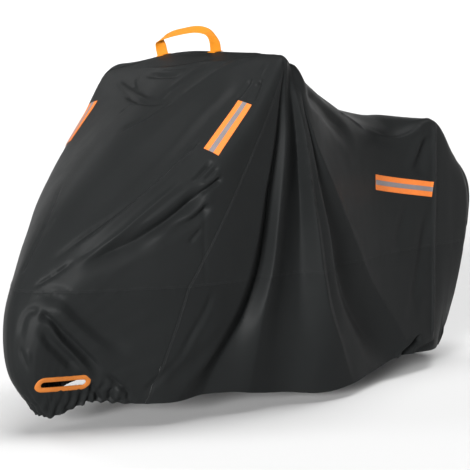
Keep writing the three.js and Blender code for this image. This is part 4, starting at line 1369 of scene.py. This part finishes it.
@dataclass
class HoleBindings:
    """The orange binding round the slot on each side of the nose."""

    shape: CoverShape
    middle: Pair = (-695.0, 172.0)
    length: float = 186.0
    height: float = 52.0
    tilt: float = -0.03
    width: float = 17.0
    thickness: float = 6.4
    steps: int = 96
    ring: int = 14
    flat_length: float = 0.42
    rounds: int = 12

    def outline(self, inset: Numbers, turn: Numbers) -> Numbers:
        """Points [x, z] of the slot's outline, drawn in from the binding's outer edge."""
        length, height = self.length - 2 * inset, self.height - 2 * inset
        radius, straight = height / 2, length - height
        arc = math.pi * radius
        way = turn * 2 * (straight + arc)
        first, second, third = straight, straight + arc, 2 * straight + arc
        right, left = (way - first) / radius, (way - third) / radius
        parts = [way < first, way < second, way < third]
        half = straight / 2
        runs = [way - half, half + radius * np.sin(right), half - (way - second)]
        x = np.select(parts, runs, -half - radius * np.sin(left))
        z = np.select(parts, [radius, radius * np.cos(right), -radius], -radius * np.cos(left))
        cos, sin = math.cos(self.tilt), math.sin(self.tilt)
        across, up = self.middle[0] + x * cos - z * sin, self.middle[1] + x * sin + z * cos
        return np.stack([across, up], axis=1)

    def places(self, outline: Numbers, sign: int) -> tuple[Numbers, Numbers]:
        """Finds where points [x, z] lie on one side of the cloth."""
        t, down = np.full(len(outline), 1.4), np.full(len(outline), 0.5 * sign)
        for _ in range(self.rounds):
            by_t, by_down = self.shape.slopes(t, down)
            dx, dz = (outline - self.shape.form(t, down)[:, ::2]).T
            slopes = by_t[:, 0], by_down[:, 0], by_t[:, 2], by_down[:, 2]
            moves = newton_step(slopes, (dx, dz))
            t, down = t + moves[0], down + moves[1]
        return t, down

    def build(self, sign: int) -> bpy.types.Object:
        """Makes one side's binding.

        Args:
            sign: -1 on the left side, 1 on the right.

        Returns:
            The piece.
        """
        turns = np.arange(self.steps) / self.steps
        rings, flats = [], []
        for k in range(self.ring):
            angle = 2 * math.pi * k / self.ring
            share = 0.5 - 0.5 * math.cos(angle)
            rise = math.sin(angle)
            lift = math.copysign(abs(rise) ** 0.6, rise) * self.thickness / 2
            outline = self.outline(np.full(self.steps, share * self.width), turns)
            t, down = self.places(outline, sign)
            points, normals = self.shape.form(t, down), self.shape.normal(t, down)
            waver = 0.5 * noise(points / 16, 41) * abs(rise)
            rings.append(points + normals * (CLOTH_FACE / 2 + lift + waver)[:, None])
            across = np.full(self.steps, share * self.width / 1000)
            flats.append(np.stack([turns * self.flat_length, across], axis=1))
        points = np.stack(rings, axis=1).reshape(-1, 3)
        flat = np.stack(flats, axis=1).reshape(-1, 2)
        faces = tube_faces(self.steps, self.ring, closed=True)
        if sign < 0:
            faces = [(a, d, c, b) for a, b, c, d in faces]
        piece = mesh_object(f"binding_{'left' if sign < 0 else 'right'}", points, faces, flat)
        finish_mesh(piece, angle=80)
        return piece


# Finishes


@dataclass
class NodeTree:
    """Short ways to add and join nodes in a material or a group."""

    tree: bpy.types.NodeTree

    def add(self, kind: str, **settings: object) -> bpy.types.Node:
        """Adds a node; settings are its properties, or values of sockets by name."""
        node = self.tree.nodes.new(kind)
        for key, value in settings.items():
            if hasattr(node, key):
                setattr(node, key, value)
            else:
                node.inputs[key].default_value = value
        return node

    def join(self, source: bpy.types.NodeSocket, target: bpy.types.NodeSocket) -> None:
        """Links two sockets."""
        self.tree.links.new(source, target)

    def math(self, operation: str, first: object, second: object = None) -> bpy.types.NodeSocket:
        """A Math node on sockets or numbers.

        Args:
            operation: the node's operation.
            first: a socket or a number.
            second: a socket, a number or nothing.

        Returns:
            The node's output.
        """
        node = self.add("ShaderNodeMath", operation=operation)
        for socket, value in zip(node.inputs, (first, second)):
            if isinstance(value, bpy.types.NodeSocket):
                self.join(value, socket)
            elif value is not None:
                socket.default_value = value
        return node.outputs[0]


def make_group(
    name: str, inputs: dict[str, object], outputs: tuple[str, ...]
) -> tuple[bpy.types.NodeTree, NodeTree, bpy.types.Node, bpy.types.Node]:
    """Starts a shader node group.

    Args:
        name: the group's name.
        inputs: default value of each input, or "vector".
        outputs: names of the outputs, all of them numbers.

    Returns:
        The group, its helper, and its input and output nodes.
    """
    group = bpy.data.node_groups.new(name, "ShaderNodeTree")
    for key, value in inputs.items():
        kind = "NodeSocketVector" if value == "vector" else "NodeSocketFloat"
        socket = group.interface.new_socket(key, in_out="INPUT", socket_type=kind)
        if value != "vector":
            socket.default_value = value
    for key in outputs:
        group.interface.new_socket(key, in_out="OUTPUT", socket_type="NodeSocketFloat")
    tree = NodeTree(group)
    return group, tree, tree.add("NodeGroupInput"), tree.add("NodeGroupOutput")


def woven_threads() -> bpy.types.NodeTree:
    """A plain weave: Height rises on each thread, and Over is 1 where the warp lies on top."""
    inputs = {"Vector": "vector", "Across": 0.0011, "Along": 0.0011}
    group, tree, start, end = make_group("woven_threads", inputs, ("Height", "Over"))
    parts = tree.add("ShaderNodeSeparateXYZ")
    tree.join(start.outputs["Vector"], parts.inputs[0])
    x = tree.math("DIVIDE", parts.outputs[0], start.outputs["Across"])
    y = tree.math("DIVIDE", parts.outputs[1], start.outputs["Along"])
    waves = [tree.math("SINE", tree.math("MULTIPLY", v, math.pi)) for v in (x, y)]
    rounds = [tree.math("ABSOLUTE", wave) for wave in waves]
    cells = tree.math("ADD", tree.math("FLOOR", x), tree.math("FLOOR", y))
    over = tree.math("FLOORED_MODULO", cells, 2.0)
    mix = tree.add("ShaderNodeMix", data_type="FLOAT")
    tree.join(over, mix.inputs[0])
    tree.join(rounds[0], mix.inputs[2])
    tree.join(rounds[1], mix.inputs[3])
    tree.join(mix.outputs[0], end.inputs["Height"])
    tree.join(over, end.inputs["Over"])
    return group


def uneven_tone() -> bpy.types.NodeTree:
    """Soft unevenness: Factor varies round 1 by Amount."""
    inputs = {"Vector": "vector", "Scale": 8.0, "Amount": 0.15}
    group, tree, start, end = make_group("uneven_tone", inputs, ("Factor",))
    texture = tree.add("ShaderNodeTexNoise", Detail=4.0, Roughness=0.6)
    tree.join(start.outputs["Vector"], texture.inputs["Vector"])
    tree.join(start.outputs["Scale"], texture.inputs["Scale"])
    centred = tree.math("SUBTRACT", texture.outputs["Fac"], 0.5)
    swing = tree.math("MULTIPLY", tree.math("MULTIPLY", centred, 2.0), start.outputs["Amount"])
    tree.join(tree.math("ADD", swing, 1.0), end.inputs["Factor"])
    return group


# How much finer than the colour the gloss varies and how much, and how warp and weft differ
GLOSS_FINER = 3
GLOSS_VARIATION = 0.1
WARP_CONTRAST = 0.2


@dataclass(frozen=True)
class FabricFinish:
    """A woven finish: colour, roughness, the weave's size and depth, and how its tone varies."""

    name: str
    color: tuple[float, float, float]
    roughness: float
    weave: Pair
    relief: float
    variation: float = 0.12
    variation_scale: float = 9.0
    specular: float = 0.2

    def make(self, groups: dict[str, bpy.types.NodeTree]) -> bpy.types.Material:
        """Builds the material.

        Args:
            groups: the shared node groups by name.

        Returns:
            The material.
        """
        material = bpy.data.materials.new(self.name)
        material.use_nodes = True
        material.node_tree.nodes.clear()
        tree = NodeTree(material.node_tree)
        output = tree.add("ShaderNodeOutputMaterial")
        shader = tree.add("ShaderNodeBsdfPrincipled")
        tree.join(shader.outputs[0], output.inputs["Surface"])
        shader.inputs["Specular IOR Level"].default_value = self.specular
        place = tree.add("ShaderNodeTexCoord")
        across, along = self.weave
        woven = groups["woven_threads"]
        weave = tree.add("ShaderNodeGroup", node_tree=woven, Across=across, Along=along)
        tree.join(place.outputs["UV"], weave.inputs["Vector"])
        tone, gloss = (
            tree.add("ShaderNodeGroup", node_tree=groups["uneven_tone"], Scale=scale, Amount=amount)
            for scale, amount in (
                (self.variation_scale, self.variation),
                (self.variation_scale * GLOSS_FINER, GLOSS_VARIATION),
            )
        )
        for uneven in (tone, gloss):
            tree.join(place.outputs["Object"], uneven.inputs["Vector"])
        darker = tree.math("MULTIPLY", weave.outputs["Over"], WARP_CONTRAST)
        shade = tree.math("SUBTRACT", 1 + WARP_CONTRAST / 2, darker)
        tint = tree.add("ShaderNodeVectorMath", operation="SCALE")
        tint.inputs[0].default_value = self.color
        tree.join(tree.math("MULTIPLY", tone.outputs["Factor"], shade), tint.inputs["Scale"])
        tree.join(tint.outputs[0], shader.inputs["Base Color"])
        rough = tree.math("MULTIPLY", gloss.outputs["Factor"], self.roughness)
        tree.join(rough, shader.inputs["Roughness"])
        bump = tree.add("ShaderNodeBump", Strength=1.0, Distance=self.relief / 1000)
        tree.join(weave.outputs["Height"], bump.inputs["Height"])
        tree.join(bump.outputs[0], shader.inputs["Normal"])
        return material


CLOTH_WEAVE = ((0.0012, 0.0012), 0.04, 0.12, 7.0, 0.04)
THREAD_WEAVE = ((0.0006, 0.0006), 0.02)


class Finish(Enum):
    """The cover's finishes."""

    CLOTH = FabricFinish("black_satin_cloth", (0.0084, 0.009, 0.0091), 0.46, *CLOTH_WEAVE)
    LOWER = FabricFinish("black_lower_cloth", (0.0079, 0.0085, 0.0086), 0.47, *CLOTH_WEAVE)
    THREAD = FabricFinish("black_thread", (0.012, 0.0125, 0.013), 0.55, *THREAD_WEAVE)
    STRIP = FabricFinish(
        "orange_strip_cloth", (0.47, 0.12, 0.02), 0.6, (0.0014, 0.0014), 0.08, 0.1, 20.0
    )
    STRIP_THREAD = FabricFinish("orange_thread", (0.42, 0.115, 0.02), 0.6, *THREAD_WEAVE)
    TAPE = FabricFinish(
        "grey_reflective_tape", (0.12, 0.105, 0.107), 0.45, (0.0022, 0.0022), 0.05, 0.2, 30.0, 0.3
    )
    WEBBING = FabricFinish(
        "orange_yellow_webbing", (0.43, 0.145, 0.004), 0.6, (0.0028, 0.0018), 0.25, 0.1, 40.0
    )
    BINDING = FabricFinish(
        "orange_binding_cloth", (0.27, 0.082, 0.012), 0.6, (0.0018, 0.0018), 0.12, 0.15, 40.0
    )


class Wardrobe:
    """Makes each finish once."""

    def __init__(self) -> None:
        """Builds the shared node groups."""
        self.groups = {group.name: group for group in (woven_threads(), uneven_tone())}
        self.made: dict[Finish, bpy.types.Material] = {}

    def dress(self, piece: bpy.types.Object, finish: Finish, node: str = "") -> None:
        """Gives a piece its only material and its place on the cover's body.

        Args:
            piece: the object.
            finish: of its cloth.
            node: the solid that it stands for, if any.
        """
        if finish not in self.made:
            self.made[finish] = finish.value.make(self.groups)
        piece.data.materials.clear()
        piece.data.materials.append(self.made[finish])
        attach(piece, "root")
        if node:
            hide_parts(node)
        triangles = sum(len(face.vertices) - 2 for face in piece.data.polygons)
        log.info("%s: %d triangles", piece.name, triangles)


# Studio


@dataclass(frozen=True)
class Lamp:
    """A far soft light: where it comes from, its strength, and its width in degrees."""

    name: str
    place: tuple[float, float, float]
    strength: float
    width: float


@dataclass
class Studio:
    """Camera, floor and lights."""

    camera_place: tuple[float, float, float] = (-4.455, -4.655, 0.184)
    camera_pitch: float = 7.37
    camera_turn: float = -45.0
    lens: float = 139.18
    floor_tone: float = 0.6
    floor_cells: int = 40
    floor_roughness: float = 0.9
    floor_specular: float = 0.2
    world_tone: float = 0.04
    lamps: tuple[Lamp, ...] = (
        Lamp("key_lamp", (-0.88, -0.41, 0.165), 8.5, 16),
        Lamp("top_lamp", (0.0, -0.05, 1.0), 2.3, 40),
        Lamp("left_rim_lamp", (-0.63, 0.53, 0.57), 0.5, 18),
        Lamp("right_lamp", (0.47, -0.17, 0.87), 0.9, 20),
        Lamp("back_lamp", (0.0, 0.82, 0.57), 0.5, 20),
    )

    def add_camera(self) -> None:
        """Makes the camera at the photograph's place."""
        camera = bpy.data.cameras.new("camera")
        camera.lens, camera.sensor_width = self.lens, 36.0
        holder = link_object("camera", camera)
        holder.location = self.camera_place
        pitch, turn = math.radians(90 - self.camera_pitch), math.radians(self.camera_turn)
        holder.rotation_euler = (pitch, 0, turn)
        bpy.context.scene.camera = holder

    def add_floor(self) -> None:
        """Makes the plain pale floor, a bowl far out that lets the low lamp's light through."""
        cells = self.floor_cells
        bpy.ops.object.select_all(action="DESELECT")
        bpy.ops.mesh.primitive_grid_add(
            x_subdivisions=cells, y_subdivisions=cells, size=FLOOR_SIZE, location=(0, 0, 0)
        )
        floor = bpy.context.object
        floor.name = "floor"
        for vert in floor.data.vertices:
            far = max(0.0, math.hypot(vert.co.x, vert.co.y) - FLOOR_LEVEL)
            vert.co.z = FLOOR_RISE * far * far - HANG_HEIGHT / 1000
        bpy.ops.object.shade_smooth()
        floor.visible_shadow = False
        material = bpy.data.materials.new("pale_floor")
        material.use_nodes = True
        shader = material.node_tree.nodes["Principled BSDF"]
        shader.inputs["Base Color"].default_value = (*[self.floor_tone] * 3, 1)
        shader.inputs["Roughness"].default_value = self.floor_roughness
        shader.inputs["Specular IOR Level"].default_value = self.floor_specular
        floor.data.materials.append(material)

    def add_lights(self) -> None:
        """Makes the soft lights and the pale surroundings."""
        scene = bpy.context.scene
        scene.view_settings.view_transform = "Standard"
        world = bpy.data.worlds.new("studio")
        world.use_nodes = True
        background = world.node_tree.nodes["Background"]
        background.inputs["Color"].default_value = (1, 1, 1, 1)
        background.inputs["Strength"].default_value = self.world_tone
        scene.world = world
        for lamp in self.lamps:
            light = bpy.data.lights.new(lamp.name, "SUN")
            light.energy, light.angle = lamp.strength, math.radians(lamp.width)
            holder = link_object(lamp.name, light)
            holder.rotation_euler = Vector(lamp.place).to_track_quat("Z", "Y").to_euler()


# Putting it together


def dress_panels(shape: CoverShape, wardrobe: Wardrobe) -> None:
    """Makes the panels and their stitches."""
    panels = ClothPanels(shape)
    grid = panels.grid()
    stitches = {"black_cloth": [], "lower_cloth": []}
    for plan in PANELS:
        piece, found = panels.build(plan, grid)
        piece.name = f"{plan.node}_cloth"
        finish = Finish.CLOTH if plan.slot == "black_cloth" else Finish.LOWER
        wardrobe.dress(piece, finish, plan.node)
        stitches[plan.slot] += found
    for slot, word in (("black_cloth", "upper"), ("lower_cloth", "lower")):
        size = panels.stitch_length, panels.thread_width
        thread = thread_mesh(f"seam_stitches_{word}", stitches[slot], *size)
        wardrobe.dress(thread, Finish.THREAD)


def dress_strips(shape: CoverShape, wardrobe: Wardrobe) -> None:
    """Makes the hi-vis strips, their tape and their stitches."""
    strips = HiVisStrips(shape)
    stitches = []
    for sign in (-1, 1):
        for plan in STRIP_PLANS:
            strip, tape, found, length = strips.build(sign, plan)
            node = strip.name.removeprefix("hi_vis_")
            wardrobe.dress(strip, Finish.STRIP, node)
            wardrobe.dress(tape, Finish.TAPE, node.replace("strip", "tape"))
            stitches += found
    size = strips.stitch_length, strips.thread_width
    thread = thread_mesh("strip_stitches", stitches, *size)
    wardrobe.dress(thread, Finish.STRIP_THREAD)


def dress_fittings(shape: CoverShape, wardrobe: Wardrobe) -> None:
    """Makes the handle and the bindings."""
    handle = CarryHandle(shape).build()
    wardrobe.dress(handle, Finish.WEBBING, "carry_handle")
    bindings = HoleBindings(shape)
    for sign, side in ((-1, "left"), (1, "right")):
        binding, node = bindings.build(sign), f"lock_hole_binding_{side}"
        wardrobe.dress(binding, Finish.BINDING, node)


def corners(box: tuple) -> list[list[float]]:
    """A box's two corners as plain lists."""
    return [[float(value) for value in corner] for corner in box]


def main() -> None:
    """Builds the whole scene round the frame."""
    logging.basicConfig(level=logging.INFO, format="%(message)s")
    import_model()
    studio = Studio()
    studio.add_camera()
    shape = CoverShape()
    wardrobe = Wardrobe()
    dress_panels(shape, wardrobe)
    dress_strips(shape, wardrobe)
    dress_fittings(shape, wardrobe)
    studio.add_floor()
    studio.add_lights()


if __name__ == "__main__":
    main()
